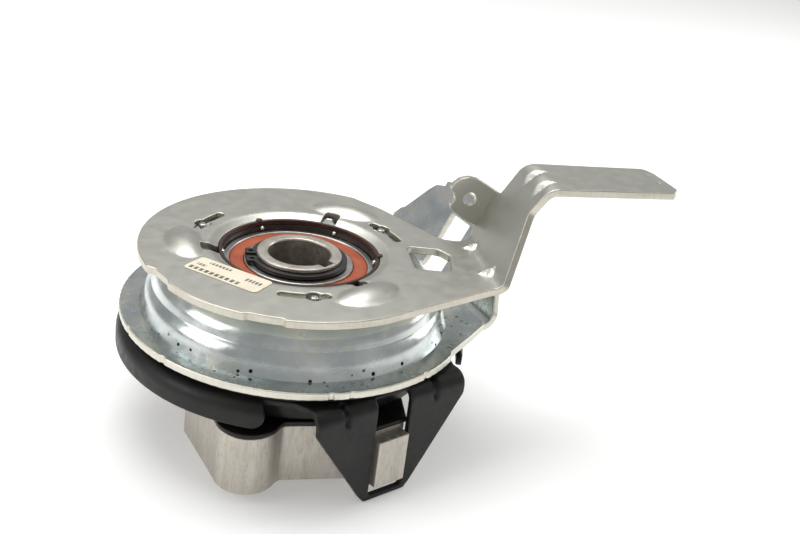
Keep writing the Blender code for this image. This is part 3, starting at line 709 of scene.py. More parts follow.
def floor_look():
    look = Look("studio_floor", 0.9)
    look.colour(look.blend(look.noise(400.0, 2.0), (0.90, 0.90, 0.89), (0.93, 0.93, 0.92)))
    look.shader.inputs["Emission Color"].default_value = (1.0, 1.0, 1.0, 1.0)
    look.shader.inputs["Emission Strength"].default_value = 0.22
    return look.material


MATERIAL = {
    "zinc_lever": zinc(
        "zinc_lever_look", (0.555, 0.55, 0.495), (0.53, 0.528, 0.48), (0.55, 0.52, 0.44), 0.40
    ),
    "lever_edge": cut_edge("lever_edge_look", (0.66, 0.63, 0.54), (0.54, 0.51, 0.44)),
    "zinc_cam": cam_zinc(),
    "cam_edge": cut_edge("cam_edge_look", (0.74, 0.72, 0.63), (0.62, 0.60, 0.53)),
    "black_coat": black_coat(),
    "extruded_aluminium": aluminium(),
    "bearing_steel": turned_steel("bearing_steel_look", (0.52, 0.51, 0.48), (0.68, 0.67, 0.64), 0.28),
    "sintered_steel": sintered(),
    "friction_lining": friction(),
    "pressed_steel": turned_steel("pressed_steel_look", (0.24, 0.24, 0.24), (0.38, 0.37, 0.36), 0.38),
    "spring_steel": turned_steel("spring_steel_look", (0.12, 0.12, 0.13), (0.22, 0.22, 0.22), 0.34),
    "label_paper": label_paper(),
}
# Dark tone, light tone, roughness, cloud size and skin depth of the plain dielectric surfaces.
for slot, surface in {
    "dark_steel": ((0.010, 0.010, 0.011), (0.022, 0.021, 0.021), 0.36, 4.0, 0.02),
    "collar_steel": ((0.016, 0.010, 0.008), (0.034, 0.019, 0.014), 0.42, 5.0, 0.02),
    "seal_rubber": ((0.36, 0.072, 0.026), (0.47, 0.105, 0.040), 0.5, 8.0, 0.03),
    "bush_resin": ((0.020, 0.007, 0.006), (0.052, 0.017, 0.012), 0.4, 6.0, 0.03),
}.items():
    MATERIAL[slot] = plain_surface(f"{slot}_look", *surface)


def settle(piece, body, *nodes, slot=None):
    """The piece rides on its body and stands for the nodes, which are hidden. The slot argument is not
    used.
    """
    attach(piece, body)
    if nodes:
        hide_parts(*nodes)


# ---------------------------------------------------------------- lever plate

def dome(x, y, azimuths, half_wide, half_long, skew):
    """Height, from 0 to 1, of the oval domes that hold the ramp balls."""
    best = 0.0
    for azimuth in azimuths:
        lx, ly = local((x, y), azimuth)
        swing = math.atan2(ly, lx) * DOME_R
        across = (math.hypot(lx, ly) - DOME_R + skew * swing) / half_wide
        along = swing / half_long
        best = max(best, 1 - across**2 - along**2)
    return best


def slot_outline(azimuth):
    """Keyhole slot: a short stub, a round bulge at the pin and a long tail."""
    half, bulge, stub, tail = 1.95, 3.5, 6.2, 16.0
    centre = polar(PIN_R, azimuth)
    made = [about(centre, bulge, azimuth + turn) for turn in range(55, -56, -10)]
    made += arc(PIN_R + half, azimuth - 5.2, azimuth - tail, 6)
    end = polar(PIN_R, azimuth - tail)
    made += [about(end, half, azimuth - tail - turn) for turn in range(15, 180, 15)]
    made += arc(PIN_R - half, azimuth - tail, azimuth - 5.4, 6)
    made += [about(centre, bulge, azimuth + turn) for turn in range(-125, -236, -10)]
    made += arc(PIN_R - half, azimuth + 5.4, azimuth + stub, 1)
    end = polar(PIN_R, azimuth + stub)
    made += [about(end, half, azimuth + stub + turn) for turn in range(165, 0, -15)]
    made += arc(PIN_R + half, azimuth + stub, azimuth + 5.2, 1)
    return made


def opening_outline():
    """The round opening of the lever plate with its three square notches."""
    made = []
    half = math.degrees(math.asin(3.3 / OPENING_R))
    for azimuth in thirds(NOTCH_AZ):
        made += arc(OPENING_R, azimuth - 120 + half, azimuth - half, 60)
        made += headed([(39.6, -3.3), (40.3, -2.6), (40.3, 2.6), (39.6, 3.3)], azimuth)
    return made


def lever_outline():
    """Round plate, its two shallow edge recesses, and the arm drawn out flat."""
    made = []
    for azimuth in range(-57, -291, -1):
        deep = 1.3 * (-106 < azimuth < -92)
        if -152 <= azimuth <= -124:
            deep = 2.5 * smooth_step((azimuth + 152.5) / 4)
            deep *= 1 - 0.7 * smooth_step((azimuth + 141) / 4)
            deep *= 1 - smooth_step((azimuth + 136) / 13)
        made.append(polar(LEVER_R - deep, azimuth))
    made.reverse()
    tip = [
        (ARM_BEND_AT, -36.5, 2), (78.1, -36.6, 4), (96.7, -24.8, 4), (105.4, -19.2, 5),
        (115.0, -21.5, 4), (120.2, -21.9, 8), (171.4, -21.5, 2.2), (174.1, -17.2, 2.2),
        (171.6, 0.2, 5), (168.9, 6.4, 4), (142.0, 7.0, 10), (120.0, 7.8, 6), (113.8, 9.4, 6),
        (101.4, 11.2, 0.6), (100.2, 15.3, 0.6), (82.7, 15.3, 0.8), (78.1, 11.6, 2),
        (ARM_BEND_AT, 10.2, 3),
    ]
    back = [
        (66.5, 22.8, 3), (61.5, 23.2, 3), (58.0, 25.0, 4), (45.8, 38.5, 30), (34.0, 51.5, 30),
        (25.0, 58.5, 12),
    ]
    return rounded([(*made[-1], 0)] + headed(tip, ARM_AZ) + back + [(*made[0], 0)], 5)[1:-1] + made


BEND_LENGTH = BEND_R * SLOPE
STRAIGHT = (ARM_RISE - 2 * BEND_R * (1 - math.cos(SLOPE))) / math.sin(SLOPE)


def arm_section(along):
    """Distance, rise and slope of the bent arm at a length along its blank."""
    second = ARM_BEND_AT + BEND_LENGTH + STRAIGHT
    p, z, slope = bend_at(min(along, second), ARM_BEND_AT, BEND_R, SLOPE, 1)
    more = along - second
    if more <= 0:
        return p, z, slope
    if more <= BEND_LENGTH:
        a = SLOPE - more / BEND_R
        p += BEND_R * (math.sin(SLOPE) - math.sin(a))
        return p, z + BEND_R * (math.cos(a) - math.cos(SLOPE)), a
    return p + BEND_R * math.sin(SLOPE) + more - BEND_LENGTH, ARM_RISE, 0.0


UPPER_BEND = ARM_BEND_AT + BEND_LENGTH + STRAIGHT + BEND_LENGTH / 2
LOWER_BEND = ARM_BEND_AT + BEND_LENGTH / 2
# Pressed stiffening darts across the two bends: length along, across, half length, half width, height.
DARTS = (
    (LOWER_BEND - 1.0, 2.5, 6.5, 2.6, 1.9),
    (LOWER_BEND - 1.0, -22.5, 6.5, 2.6, 1.9),
    (UPPER_BEND - 1.5, -2.0, 7.5, 2.9, -1.5),
    (UPPER_BEND - 1.5, -14.0, 7.5, 2.9, -1.5),
)
PUNCH_MARKS = ((167.2, -1.1), (168.9, -10.4))
PUNCH_R, PUNCH_DEEP = 1.5, 0.7


def lever_place(x, y):
    along, across = local((x, y), ARM_AZ)
    point, normal = on_strip(arm_section(along), across, ARM_AZ, LEVER_TOP - LEVER_THICK / 2)
    radius = math.hypot(x, y)
    lift = LEVER_DOME_RISE * dome(x, y, thirds(DOME_AZ), *LEVER_DOME)
    lift -= OPENING_DIP * (1 - smooth_step((radius - OPENING_R) / OPENING_DISH))
    for at, side, half_long, half_wide, high in DARTS:
        near = 1 - abs(along - at) / half_long - abs(across - side) / half_wide * 0.9
        if near > 0:
            lift += high * min(1.0, 1.25 * near)
    for at, side in PUNCH_MARKS:
        lift -= PUNCH_DEEP * (1 - smooth_step(math.dist((along, across), (at, side)) / PUNCH_R))
    return point + normal * lift, normal


def dome_points(azimuths, half_wide, half_long, skew, step=1.0):
    """Points on rings of the oval, closest together at its rim."""
    found = []
    shares = [k * step / half_wide for k in range(int(half_wide / step))] + [0.94, 1.0, 1.06, 1.14]
    for azimuth in azimuths:
        for share in shares:
            for px, py in circle(share, max(1, int(share * 72 / step))):
                swing = half_long * py
                radius = DOME_R + half_wide * px - skew * swing
                found.append(polar(radius, azimuth + math.degrees(swing / DOME_R)))
    return found


def arm_points():
    """Rows across the arm, close together in the bends, with a fine patch at each dart."""
    found = []
    for start in (ARM_BEND_AT, ARM_BEND_AT + BEND_LENGTH + STRAIGHT):
        for i in range(-1, 10):
            along = start + BEND_LENGTH * i / 8
            found += [(along, -36 + 1.5 * k + 0.7 * (i % 2)) for k in range(34)]
    for at, side, half_long, half_wide, _ in DARTS:
        for i in range(-9, 10):
            found += [(at + half_long * i / 9, side + half_wide * k / 5) for k in range(-5, 6)]
    for centre in PUNCH_MARKS:
        for radius in (0.4, 0.8, 1.2, 1.6):
            found += circle(radius, 10, centre)
    return headed(found, ARM_AZ)


def thinned(points, gap):
    """The points with any that come closer than the gap to an earlier one left out."""
    taken, kept = {}, []
    for p in points:
        cell = (math.floor(p[0] / gap), math.floor(p[1] / gap))
        near = [
            q for i in (-1, 0, 1) for k in (-1, 0, 1) for q in taken.get((cell[0] + i, cell[1] + k), ())
        ]
        if all(math.dist(p, q) >= gap for q in near):
            taken.setdefault(cell, []).append(p)
            kept.append(p)
    return kept


def make_lever():
    window = rounded([
        (44.2, 11.6, 2.5), (58.0, 11.8, 4.0), (62.4, 6.5, 3.0), (62.2, -9.6, 3.0), (47.2, -9.6, 3.0),
    ])
    holes = [opening_outline(), window] + [slot_outline(a) for a in thirds(PIN_AZ)]
    inner = arm_points() + dome_points(thirds(DOME_AZ), *LEVER_DOME)
    for k in range(1, 8):
        inner += circle(OPENING_R + 0.8 * k, 200)
    inner = thinned(inner, 0.45)
    inner += thinned(grid((-66, -66), (170, 66), 2.6, 0.0), 0.5)
    inner = thinned(inner, 0.6)
    surface = ["zinc_lever", "lever_edge"]
    lever = plate(
        "lever_plate_sheet", lever_outline(), holes, inner, lever_place, LEVER_THICK, surface, 0.45, 1.5
    )
    settle(lever, "lever", "lever_plate")
    settle(make_ear(surface), "lever")


def make_ear(surface):
    """The eared flange on the rising part of the arm, square to it, with its cable hole."""
    outline = rounded([
        (7.4, -0.8, 0), (7.4, 2.4, 1.0), (7.2, 8.6, 3.0), (8.1, 14.8, 2.0), (9.7, 16.5, 1.2),
        (13.3, 16.2, 1.5), (15.0, 18.0, 1.2), (16.2, 20.6, 1.4), (18.8, 20.7, 2.0), (22.1, 19.2, 3.0),
        (24.4, 16.4, 3.0), (25.4, 12.7, 3.0), (25.3, 7.0, 3.0), (24.8, -0.8, 0),
    ])
    crease = ARM_BEND_AT + BEND_R * math.tan(SLOPE / 2)

    def place(u, n):
        p = crease + u * math.cos(SLOPE) - n * math.sin(SLOPE)
        z = LEVER_TOP - LEVER_THICK / 2 + u * math.sin(SLOPE) + n * math.cos(SLOPE)
        px, py = turned((p, EAR_SIDE), ARM_AZ)
        nx, ny = turned((0.0, 1.0), ARM_AZ)
        return Vector((px, py, z)), Vector((nx, ny, 0.0))

    hole = circle(2.9, 40, (16.3, 10.6))
    inner = grid((0, 0), (30, 22), 2.0)
    return plate("lever_ear", outline, [hole], inner, place, 3.0, surface, 0.4, 1.0)


def make_label():
    outline = rounded([
        (-44.0, -28.6, 2.0), (-15.0, -45.9, 2.0), (-8.6, -35.4, 2.0), (-37.4, -18.4, 2.0),
    ])
    high = heights("rating_label")[1]
    low, paper = LEVER_TOP + 0.03, "label_paper"
    label = slab("rating_label_paper", outline, [], low, high, paper, 0.06, 1.5)
    settle(label, "lever", "rating_label")


def make_pins():
    for i, azimuth in enumerate(thirds(PIN_AZ)):
        profile = [
            (3.0, 68.9), (3.0, 70.0), (1.6, 70.1), (1.6, 77.6), (1.5, 78.0), (1.2, 78.25), (0.7, 78.3),
            (0.3, 78.2),
        ]
        name = f"stop_pin_{i + 1}"
        pin = upright(f"{name}_turned", polar(PIN_R, azimuth), profile, "bearing_steel")
        settle(pin, "cam", name)


# ---------------------------------------------------------------- cam plate

CAM_PROFILE = rounded([
    (CAM_OPENING, 71.9, 0), (50.2, 71.9, 7.0), (56.3, 65.5, 5.0), (57.6, 61.4, 1.6), (59.7, 59.2, 1.8),
    (60.9, 55.0, 2.0), (62.4, FLANGE_MID, 1.4), (66.0, FLANGE_MID, 0),
], 10)


def cam_lengths():
    made = [CAM_PROFILE[0][0]]
    for a, b in zip(CAM_PROFILE, CAM_PROFILE[1:]):
        made.append(made[-1] + math.dist(a, b))
    return made


CAM_LENGTHS = cam_lengths()
CAM_SHIFT = CAM_LENGTHS[-1] - CAM_PROFILE[-1][0]


def tilted(profile, k):
    """Outward-leaning normal of a turned profile at one of its points."""
    first, last = profile[max(0, k - 1)], profile[min(len(profile) - 1, k + 1)]
    rise, run = last[1] - first[1], last[0] - first[0]
    size = math.hypot(rise, run)
    return -rise / size, run / size


def between(profile, keys, value):
    """Radius, height and normal of a turned profile where its key reaches a value."""
    k = max(1, min(len(keys) - 1, int(np.searchsorted(keys, value))))
    t = (value - keys[k - 1]) / (keys[k] - keys[k - 1])
    (r1, z1), (r2, z2) = profile[k - 1], profile[k]
    a, b = tilted(profile, k - 1), tilted(profile, k)
    nr, nz = a[0] + (b[0] - a[0]) * t, a[1] + (b[1] - a[1]) * t
    size = math.hypot(nr, nz)
    return r1 + (r2 - r1) * t, z1 + (z2 - z1) * t, nr / size, nz / size


def widen(point, shift):
    """A point pushed away from the axis."""
    radius = math.hypot(*point)
    k = (radius + shift) / radius
    return (point[0] * k, point[1] * k)


def cam_place(x, y):
    length = math.hypot(x, y)
    if length > CAM_LENGTHS[-1]:
        along, across = local(widen((x, y), -CAM_SHIFT), BRACKET_AZ)
        section = bend_at(along, BRACKET_AT, BEND_R, SLOPE, 1)
        return on_strip(section, across, BRACKET_AZ, FLANGE_MID)
    radius, height, nr, nz = between(CAM_PROFILE, CAM_LENGTHS, length)
    drop = CAM_DOME_DROP * dome(x, y, thirds(CAM_DOME_AZ), *CAM_DOME)
    ux, uy = x / length, y / length
    return Vector((ux * radius, uy * radius, height - drop)), Vector((nr * ux, nr * uy, nz))


SHEAR_NICKS = (207.5, 228.5, 283.5, 290.0, 318.0)


def cam_outline():
    """Round flange with the bracket drawn out flat beyond its bend, and small shear nicks."""
    at = BRACKET_AT
    bracket = [
        (46.2, -53.2, 3), (61.7, -43.0, 6), (at, -36.0, 6), (at + 8, -34.5, 4), (at + 16, -28.0, 6),
        (at + 37, -14.0, 6), (at + 43, -4.0, 5), (114.6, 34.7, 1), (112.6, 41.3, 1), (110.5, 40.5, 0.8),
        (108.4, 46.9, 1.2), (105.1, 49.9, 1.5), (90.6, 59.8, 1.5), (89.0, 62.2, 1.2), (84.9, 65.0, 2),
        (78.0, 64.2, 3), (at, 62.0, 2), (60.0, 60.0, 4),
    ]
    edge = []
    for k in range(499):
        azimuth = 84.0 + 0.5 * k
        nick = 0.55 * any(abs(azimuth - centre) < 0.6 for centre in SHEAR_NICKS)
        edge.append((*polar(FLANGE_R - nick - 0.06 * math.sin(azimuth * 1.9), azimuth), 0))
    outline = rounded(headed(bracket, BRACKET_AZ) + edge, 5)
    return [widen(p, CAM_SHIFT) for p in spaced(outline, 1.5)]


def make_cam():
    gap = rounded([(70.6, 25.6, 1), (102.2, 25.3, 0.5), (102.6, 9.7, 0.5), (71.4, 10.5, 1)], 4)
    gap = [widen(p, CAM_SHIFT) for p in headed(spaced(gap, 1.2), BRACKET_AZ)]
    holes = [circle(CAM_OPENING, 140), gap]
    holes += [circle(1.95, 24, polar(PIN_R, a)) for a in thirds(PIN_AZ)]
    inner = dome_points(thirds(CAM_DOME_AZ), *CAM_DOME, 1.4)
    last = CAM_LENGTHS[-1] + 6.0
    rows = [CAM_LENGTHS[1] + (last - CAM_LENGTHS[1]) * i / 44 for i in range(45)]
    for i, radius in enumerate(rows):
        inner += dotted(radius, i, 1.5)
    inner += [p for i in range(4) for p in circle(37.5 + 2.6 * i, 120)]
    strip = []
    for i in range(-1, 10):
        along = BRACKET_AT + BEND_LENGTH * i / 8
        strip += [(along, -34 + 1.8 * k + 0.9 * (i % 2)) for k in range(54)]
    strip += grid((76, -40), (116, 66), 3.0)
    inner += [widen(p, CAM_SHIFT) for p in headed(strip, BRACKET_AZ)]
    inner = thinned(inner, 0.5)
    surface = ["zinc_cam", "cam_edge"]
    cam = plate(
        "cam_plate_sheet", cam_outline(), holes, inner, cam_place, CAM_THICK, surface, 0.45, 1.6
    )
    settle(cam, "cam", "cam_plate")


# ---------------------------------------------------------------- blade carrier

CARRIER_PROFILE = rounded([
    (CARRIER_OPENING, 33.35, 0), (57.2, 33.35, 3.0), (62.2, CARRIER_MID, 3.0), (66.0, CARRIER_MID, 0),
], 8)
CARRIER_RADII = [radius for radius, _ in CARRIER_PROFILE]


def carrier_level(radius):
    """Height and outward-leaning normal of the carrier's dished middle."""
    if not CARRIER_RADII[0] < radius < CARRIER_RADII[-1]:
        return CARRIER_PROFILE[-1 if radius > CARRIER_RADII[0] else 0][1], 0.0, 1.0
    return between(CARRIER_PROFILE, CARRIER_RADII, radius)[1:]


# Pressed grooves across each leg's bend: distance across, half length, half width, depth.
GUSSETS = ((21.0, 7.0, 1.7, 1.5), (-22.5, 7.0, 1.7, 1.5))
# A leg starts this far out, is at most this wide to each side and widens at this slope.
LEG_FROM, LEG_HALF, LEG_SPLAY = 55, 41.5, 1.35


def carrier_place(x, y):
    radius = math.hypot(x, y)
    for azimuth in LEGS:
        along, across = local((x, y), azimuth)
        if along > max(LEG_FROM, LEG_SPLAY * abs(across)) and abs(across) < LEG_HALF:
            if along <= LEG_BEND_AT:
                break
            section = bend_at(along, LEG_BEND_AT, LEG_BEND_R, math.radians(90), -1)
            point, normal = on_strip(section, across, azimuth, CARRIER_MID)
            dent = 0.0
            for side, half_long, half_wide, deep in GUSSETS:
                near = abs(across - side) / half_wide
                reach = abs(along - (LEG_BEND_AT + LEG_BEND_R * 0.8)) / half_long
                if near < 1 and reach < 1:
                    dent += deep * smooth_step(1.4 * (1 - near)) * smooth_step(2.0 * (1 - reach))
            return point - normal * dent, normal
    else:
        if radius > RIM_AT:
            r, z, tilt = bend_at(radius, RIM_AT, RIM_BEND_R, math.radians(90), -1)
            lean = -math.sin(tilt)
            normal = Vector((lean * x / radius, lean * y / radius, math.cos(tilt)))
            return Vector((x * r / radius, y * r / radius, CARRIER_MID + z)), normal
    height, nr, nz = carrier_level(radius)
    return Vector((x, y, height)), Vector((nr * x / radius, nr * y / radius, nz))


def carrier_half(azimuth):
    """Half of the flat blank: one leg, then one stretch of rim with rounded ends."""
    foot = LEG_BEND_AT + LEG_BEND_R * math.pi / 2 + CARRIER_MID - LEG_BEND_R - CARRIER_FOOT
    side = [
        (48.5, 47.0, 0), (56.0, 38.5, 3), (62.0, 36.0, 1.5), (74.5, 36.0, 3), (foot - 2.5, 12.3, 1.5),
        (foot, 10.0, 1.5),
    ]
    leg = rounded([(x, -y, radius) for x, y, radius in side] + side[::-1])
    made = headed(leg, azimuth)
    end = RIM_AT + RIM_BEND_R * math.pi / 2 + RIM_DROP
    first, last = azimuth + RIM_GAP, azimuth + 180 - RIM_GAP
    turns = [math.pi / 2 * i / 8 for i in range(9)]
    corner = [(end - 5.5 + 5.5 * math.sin(a), 4.5 * (1 - math.cos(a))) for a in turns]
    made += [polar(radius, first + swing) for radius, swing in corner]
    made += arc(end, first + 5.2, last - 5.2, 60)
    made += [polar(radius, last - swing) for radius, swing in reversed(corner)]
    return made


SCREWS = [(44.5, LEG_AZ), (44.5, LEG_AZ + 180), (43.5, BOSS_AZ), (43.5, BOSS_AZ + 180)]


def make_carrier():
    outline = carrier_half(LEGS[0]) + carrier_half(LEGS[1])
    holes = [circle(CARRIER_OPENING, 100)]
    holes += [circle(3.0, 24, polar(r, a)) for r, a in SCREWS]
    inner = []
    for azimuth in LEGS:
        window = rounded([
            (66.5, -8.2, 1.0), (109.3, -8.2, 1.5), (109.3, 8.2, 1.5), (66.5, 8.2, 1.0),
        ])
        holes.append(headed(window, azimuth))
        strip = [(LEG_BEND_AT + 0.9 * i, -40 + 1.2 * k) for i in range(-1, 14) for k in range(68)]
        for side, _, half_wide, _ in GUSSETS:
            for i in range(20):
                along = LEG_BEND_AT - 4 + 0.7 * i
                strip += [(along, side + half_wide * k / 4) for k in range(-5, 6)]
        inner += headed(strip + grid((78, -40), (112, 40), 3.2), azimuth)
    for i in range(15):
        radius = RIM_AT - 0.9 + 0.85 * i
        for p in dotted(radius, i, 1.2):
            if all(local(p, a)[0] < LEG_BEND_AT - 1.5 for a in LEGS):
                inner.append(p)
    for i in range(22):
        radius = 54.0 + 0.6 * i
        inner += dotted(radius, i, 1.5)
    inner += [p for i in range(8) for p in circle(28.5 + 3.4 * i, 70)]
    carrier = plate(
        "blade_carrier_pressing", outline, holes, thinned(inner, 0.42), carrier_place, CARRIER_THICK,
        ["black_coat", "black_coat"], 0.6, 1.4,
    )
    settle(carrier, "blade_drive", "blade_carrier")


# ---------------------------------------------------------------- adaptor and cover

def adaptor_outline(grow=0.0):
    """Extruded bar with a round boss and a square lug on each side of the hub."""
    made = []
    for turn in (0, 180):
        centre = polar(BOSS_AT, BOSS_AZ + turn)
        boss = [(*about(centre, 12.2 + grow, a + turn), 0) for a in range(-163, -18, 3)]
        neck = headed([(0.3, -58.0 - grow, 3.0), (26.0, -53.2 - grow, 2.0)], turn)
        lug = headed([(66.5 + grow, s * (8.7 + grow), 0.6) for s in (-1, 1)], LEG_AZ + turn)
        side = polar(49.4 + grow, 36.0 + turn)
        made += boss + neck + lug + [(*side, 3.0)]
    return rounded(made, 4)


def make_adaptor():
    bolts = [circle(4.3, 48, polar(BOSS_AT, BOSS_AZ + t)) for t in (0, 180)]
    screws = [circle(2.9, 28, polar(r, a)) for r, a in SCREWS]
    metal = "extruded_aluminium"
    body = slab(
        "blade_adaptor_extrusion", adaptor_outline(), [circle(31.3, 120)] + bolts + screws,
        ADAPTOR_FOOT, ADAPTOR_TOP, metal, 0.4, 1.6,
    )
    settle(body, "blade_drive", "blade_adaptor")
    seat = soft([(27.5, ADAPTOR_FOOT), (31.4, ADAPTOR_FOOT), (31.4, 15.0), (27.5, 15.0)])
    settle(lathe("blade_adaptor_seat_lip", seat, metal), "blade_drive")
    for i, azimuth in enumerate(LEGS):
        corners = [(64.0, -7.3, 0), (72.2, -7.3, 0.8), (72.2, 7.3, 0.8), (64.0, 7.3, 0)]
        outline = headed(rounded(corners, 4), azimuth)
        tenon = slab(f"blade_adaptor_tenon_{i + 1}", outline, [], 7.0, 27.8, metal, 0.4, 1.6)
        settle(tenon, "blade_drive")
    cover = slab(
        "carrier_cover_pressing", adaptor_outline(0.6), [circle(26.5, 100)] + screws,
        COVER_FOOT, COVER_TOP, "black_coat", 0.5, 1.6,
    )
    settle(cover, "blade_drive", "carrier_cover_plate")


# ---------------------------------------------------------------- hub, bearings and rings

def keyed_radius(azimuth):
    """Radius of the bore, or of its keyway, at an azimuth."""
    a = math.radians((azimuth - KEY_AZ + 180) % 360 - 180)
    if abs(a) >= math.asin(KEY_HALF / BORE_R):
        return BORE_R
    return min(KEY_DEEP / math.cos(a), KEY_HALF / max(abs(math.sin(a)), 1e-6))


def hub_azimuths():
    corner = math.degrees(math.atan(KEY_HALF / KEY_DEEP))
    mouth = math.degrees(math.asin(KEY_HALF / BORE_R))
    near = [i * corner / 6 for i in range(-6, 7)]
    near = [-mouth] + near + [mouth]
    rest = [mouth + (360 - 2 * mouth) * i / 150 for i in range(1, 150)]
    return [KEY_AZ + a for a in near + rest]


def make_hub():
    outer = [
        (16.9, HUB_FOOT), (HUB_R, HUB_FOOT + 0.6), (HUB_R, 12.9), (16.5, 12.95), (16.5, 14.85),
        (HUB_R, 14.9), (HUB_R, 51.3), (23.0, 51.35), (23.0, 58.5), (HUB_R, 58.55), (HUB_R, 73.0),
        (16.5, 73.05), (16.5, 75.15), (HUB_R, 75.2), (HUB_R, HUB_TOP - 0.55), (17.25, HUB_TOP - 0.2),
        (16.9, HUB_TOP),
    ]
    inner = [
        (0.9, HUB_TOP), (0.45, HUB_TOP - 0.25), (0.0, HUB_TOP - 0.9), (0.0, HUB_FOOT + 0.9),
        (0.9, HUB_FOOT),
    ]
    azimuths = hub_azimuths()
    points = []
    for azimuth in azimuths:
        points += [(*polar(r, azimuth), z) for r, z in outer]
        points += [(*polar(keyed_radius(azimuth) + grow, azimuth), z) for grow, z in inner]
    size = len(outer) + len(inner)
    faces = ring_faces(len(azimuths), size, size)
    hub = finish_mesh("hub_sleeve_machined", points, faces, ["sintered_steel"])
    settle(hub, "input_hub", "hub_sleeve")


def make_circlip(name, facing):
    """External retaining ring with two holed lugs."""
    low, high = heights(name)
    inner = 16.75
    outline = [(*p, 0) for p in arc(19.8, facing + 18, facing + 342, 100)]
    lug = [(21.8, -6.2, 1.4), (22.0, -1.4, 0.8), (inner, -1.4, 0.3)]
    outline += headed(lug, facing)
    outline += [(*p, 0) for p in reversed(arc(inner, facing + 6, facing + 354, 100))]
    outline += headed([(x, -y, r) for x, y, r in reversed(lug)], facing)
    holes = [circle(1.0, 20, turned((19.4, 3.7 * side), facing)) for side in (-1, 1)]
    ring = slab(f"{name}_stamped", rounded(outline, 4), holes, low, high, "dark_steel", 0.3, 1.2)
    settle(ring, "input_hub", name)


def make_bearing(prefix, inner_body, outer_body):
    """Rings and seals with their lips; the balls and cage stay as the CAD has them."""
    low, top = heights(f"{prefix}_outer_ring")
    mid, half = (low + top) / 2, (top - low) / 2
    for ring, body, back, corner, land, groove, steps in (
        ("outer_ring", outer_body, 31.0, 28.5, 28.3, 29.7, 200),
        ("inner_ring", inner_body, 17.75, 22.3, 22.5, 21.1, 160),
    ):
        side = [(back, half), (corner, half), (land, half - 0.6), (land, 3.6), (groove, 2.3)]
        profile = [(r, mid + z) for r, z in side] + [(r, mid - z) for r, z in side[::-1]]
        name = f"{prefix}_{ring}"
        settle(lathe(f"{name}_ground", soft(profile, 0.45), "bearing_steel", steps), body, name)
    lips = [
        (22.75, 1.5), (22.75, 0.75), (23.1, 0.55), (23.6, 0.7), (24.0, 0.42), (26.9, 0.38),
        (27.3, 0.62), (27.7, 0.62), (27.95, 0.4), (28.15, 0.6), (28.15, 1.5),
    ]
    for side, way in (("top", 1), ("bottom", -1)):
        name = f"{prefix}_seal_{side}"
        profile = [(r, mid + way * (half - depth)) for r, depth in lips]
        settle(lathe(f"{name}_moulded", profile, "seal_rubber", 200), outer_body, name)


STAKE_R, STAKE_AZ = 31.1, 3.0
NUB_R, NUB_AZ = 32.9, 4.0


def make_collar():
    profile = [
        (27.3, 57.0), (33.7, 57.0), (33.7, 66.9), (37.6, 66.9), (37.6, 70.0), (33.7, 70.0),
        (33.7, 73.2), (32.05, 73.2), (32.05, 74.9), (31.3, 74.9), (31.3, 58.5), (27.3, 58.5),
    ]
    collar = lathe("bearing_collar_turned", soft(profile, 0.25), "collar_steel", 180)
    settle(collar, "housing", "bearing_collar", slot="dark_steel")
    for i in range(6):
        centre = polar(STAKE_R, STAKE_AZ + 60 * i)
        dab = [(0.9, 73.9), (1.1, 74.4), (0.95, 74.9), (0.5, 75.1), (0.1, 75.0)]
        settle(upright(f"collar_stake_{i + 1}", centre, dab, "bearing_steel", 20), "housing")


def make_bush():
    """Resin bush with three small round nubs that key into the lever plate."""
    low, high = heights("pivot_bush")
    profile = [(32.25, low), (32.8, low), (32.8, high), (31.5, high), (31.5, 75.1), (32.25, 75.1)]
    profile = soft(profile, 0.2)
    bush = lathe("pivot_bush_moulded", profile, "bush_resin", 220)
    settle(bush, "housing", "pivot_bush")
    for i, azimuth in enumerate(thirds(NUB_AZ)):
        centre = polar(NUB_R, azimuth)
        rises = ((1.5, -0.5), (1.5, 0.3), (1.3, 0.6), (0.8, 0.75), (0.2, 0.8))
        dab = [(r, high + rise) for r, rise in rises]
        settle(upright(f"pivot_bush_nub_{i + 1}", centre, dab, "bush_resin", 24), "housing")


# ---------------------------------------------------------------- carried-over nodes, stage

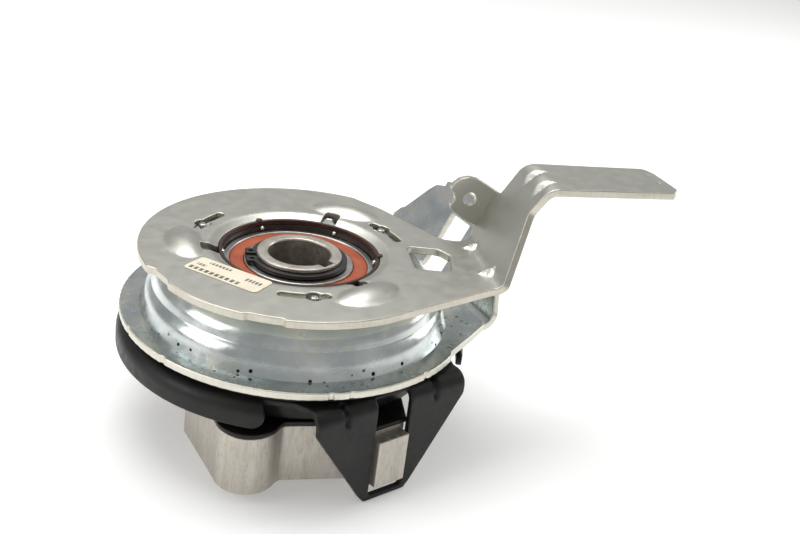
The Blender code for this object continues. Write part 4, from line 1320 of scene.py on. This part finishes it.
def dress_cad_nodes():
    """Gives every CAD node its slot's material and rounds the edges of those in view."""
    for name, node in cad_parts.items():
        for place in node.material_slots:
            slot = place.material.name.split(".")[0] if place.material else ""
            place.material = MATERIAL.get(slot, MATERIAL["pressed_steel"])
        if name.startswith(("brake_pad", "carrier_screw")):
            bevel = node.modifiers.new("soft_edge", "BEVEL")
            bevel.width = 0.25 * MM
            bevel.segments = 2
            bevel.limit_method = "ANGLE"


LIGHTS_AIM = Vector((0, 0, 0.05))


def add_light(name, place, size, power):
    """White area light aimed at the middle of the part."""
    data = bpy.data.lights.new(name, "AREA")
    data.shape = "RECTANGLE"
    data.size, data.size_y = size
    data.energy = power
    light = add_object(name, data)
    light.location = place
    light.rotation_euler = (LIGHTS_AIM - Vector(place)).to_track_quat("-Z", "Y").to_euler()


def make_stage():
    size = 6.0
    mesh = bpy.data.meshes.new("studio_floor")
    corners = [(x * size, y * size, 0.0) for x, y in ((-1, -1), (1, -1), (1, 1), (-1, 1))]
    mesh.from_pydata(corners, [], [(0, 1, 2, 3)])
    mesh.materials.append(floor_look())
    add_object("studio_floor", mesh)
    world = bpy.data.worlds.new("studio")
    world.use_nodes = True
    sky = world.node_tree.nodes["Background"]
    sky.inputs["Color"].default_value = (1.0, 1.0, 1.0, 1.0)
    sky.inputs["Strength"].default_value = 0.42
    bpy.context.scene.world = world
    add_light("overhead", (-0.15, 0.25, 1.0), (0.9, 0.7), 8.0)
    add_light("left", (-0.9, -0.35, 0.5), (0.6, 0.6), 3.0)
    add_light("right_back", (0.9, 0.5, 0.45), (0.5, 0.6), 3.0)
    bpy.context.scene.view_settings.view_transform = "Standard"
    bpy.context.scene.view_settings.look = "None"


def make_camera():
    data = bpy.data.cameras.new("photo_camera")
    data.lens = CAMERA_LENS
    data.sensor_width = 36.0
    camera = add_object("photo_camera", data)
    camera.location = CAMERA_AT
    camera.rotation_euler = [math.radians(a) for a in CAMERA_TURN]
    bpy.context.scene.camera = camera


def main():
    make_lever()
    make_label()
    make_pins()
    make_cam()
    make_carrier()
    make_adaptor()
    make_hub()
    make_circlip("upper_circlip", 188.0)
    make_circlip("lower_circlip", 40.0)
    make_bearing("upper_bearing", "input_hub", "housing")
    make_bearing("lower_bearing", "input_hub", "blade_drive")
    make_collar()
    make_bush()
    dress_cad_nodes()
    make_stage()
    make_camera()


main()
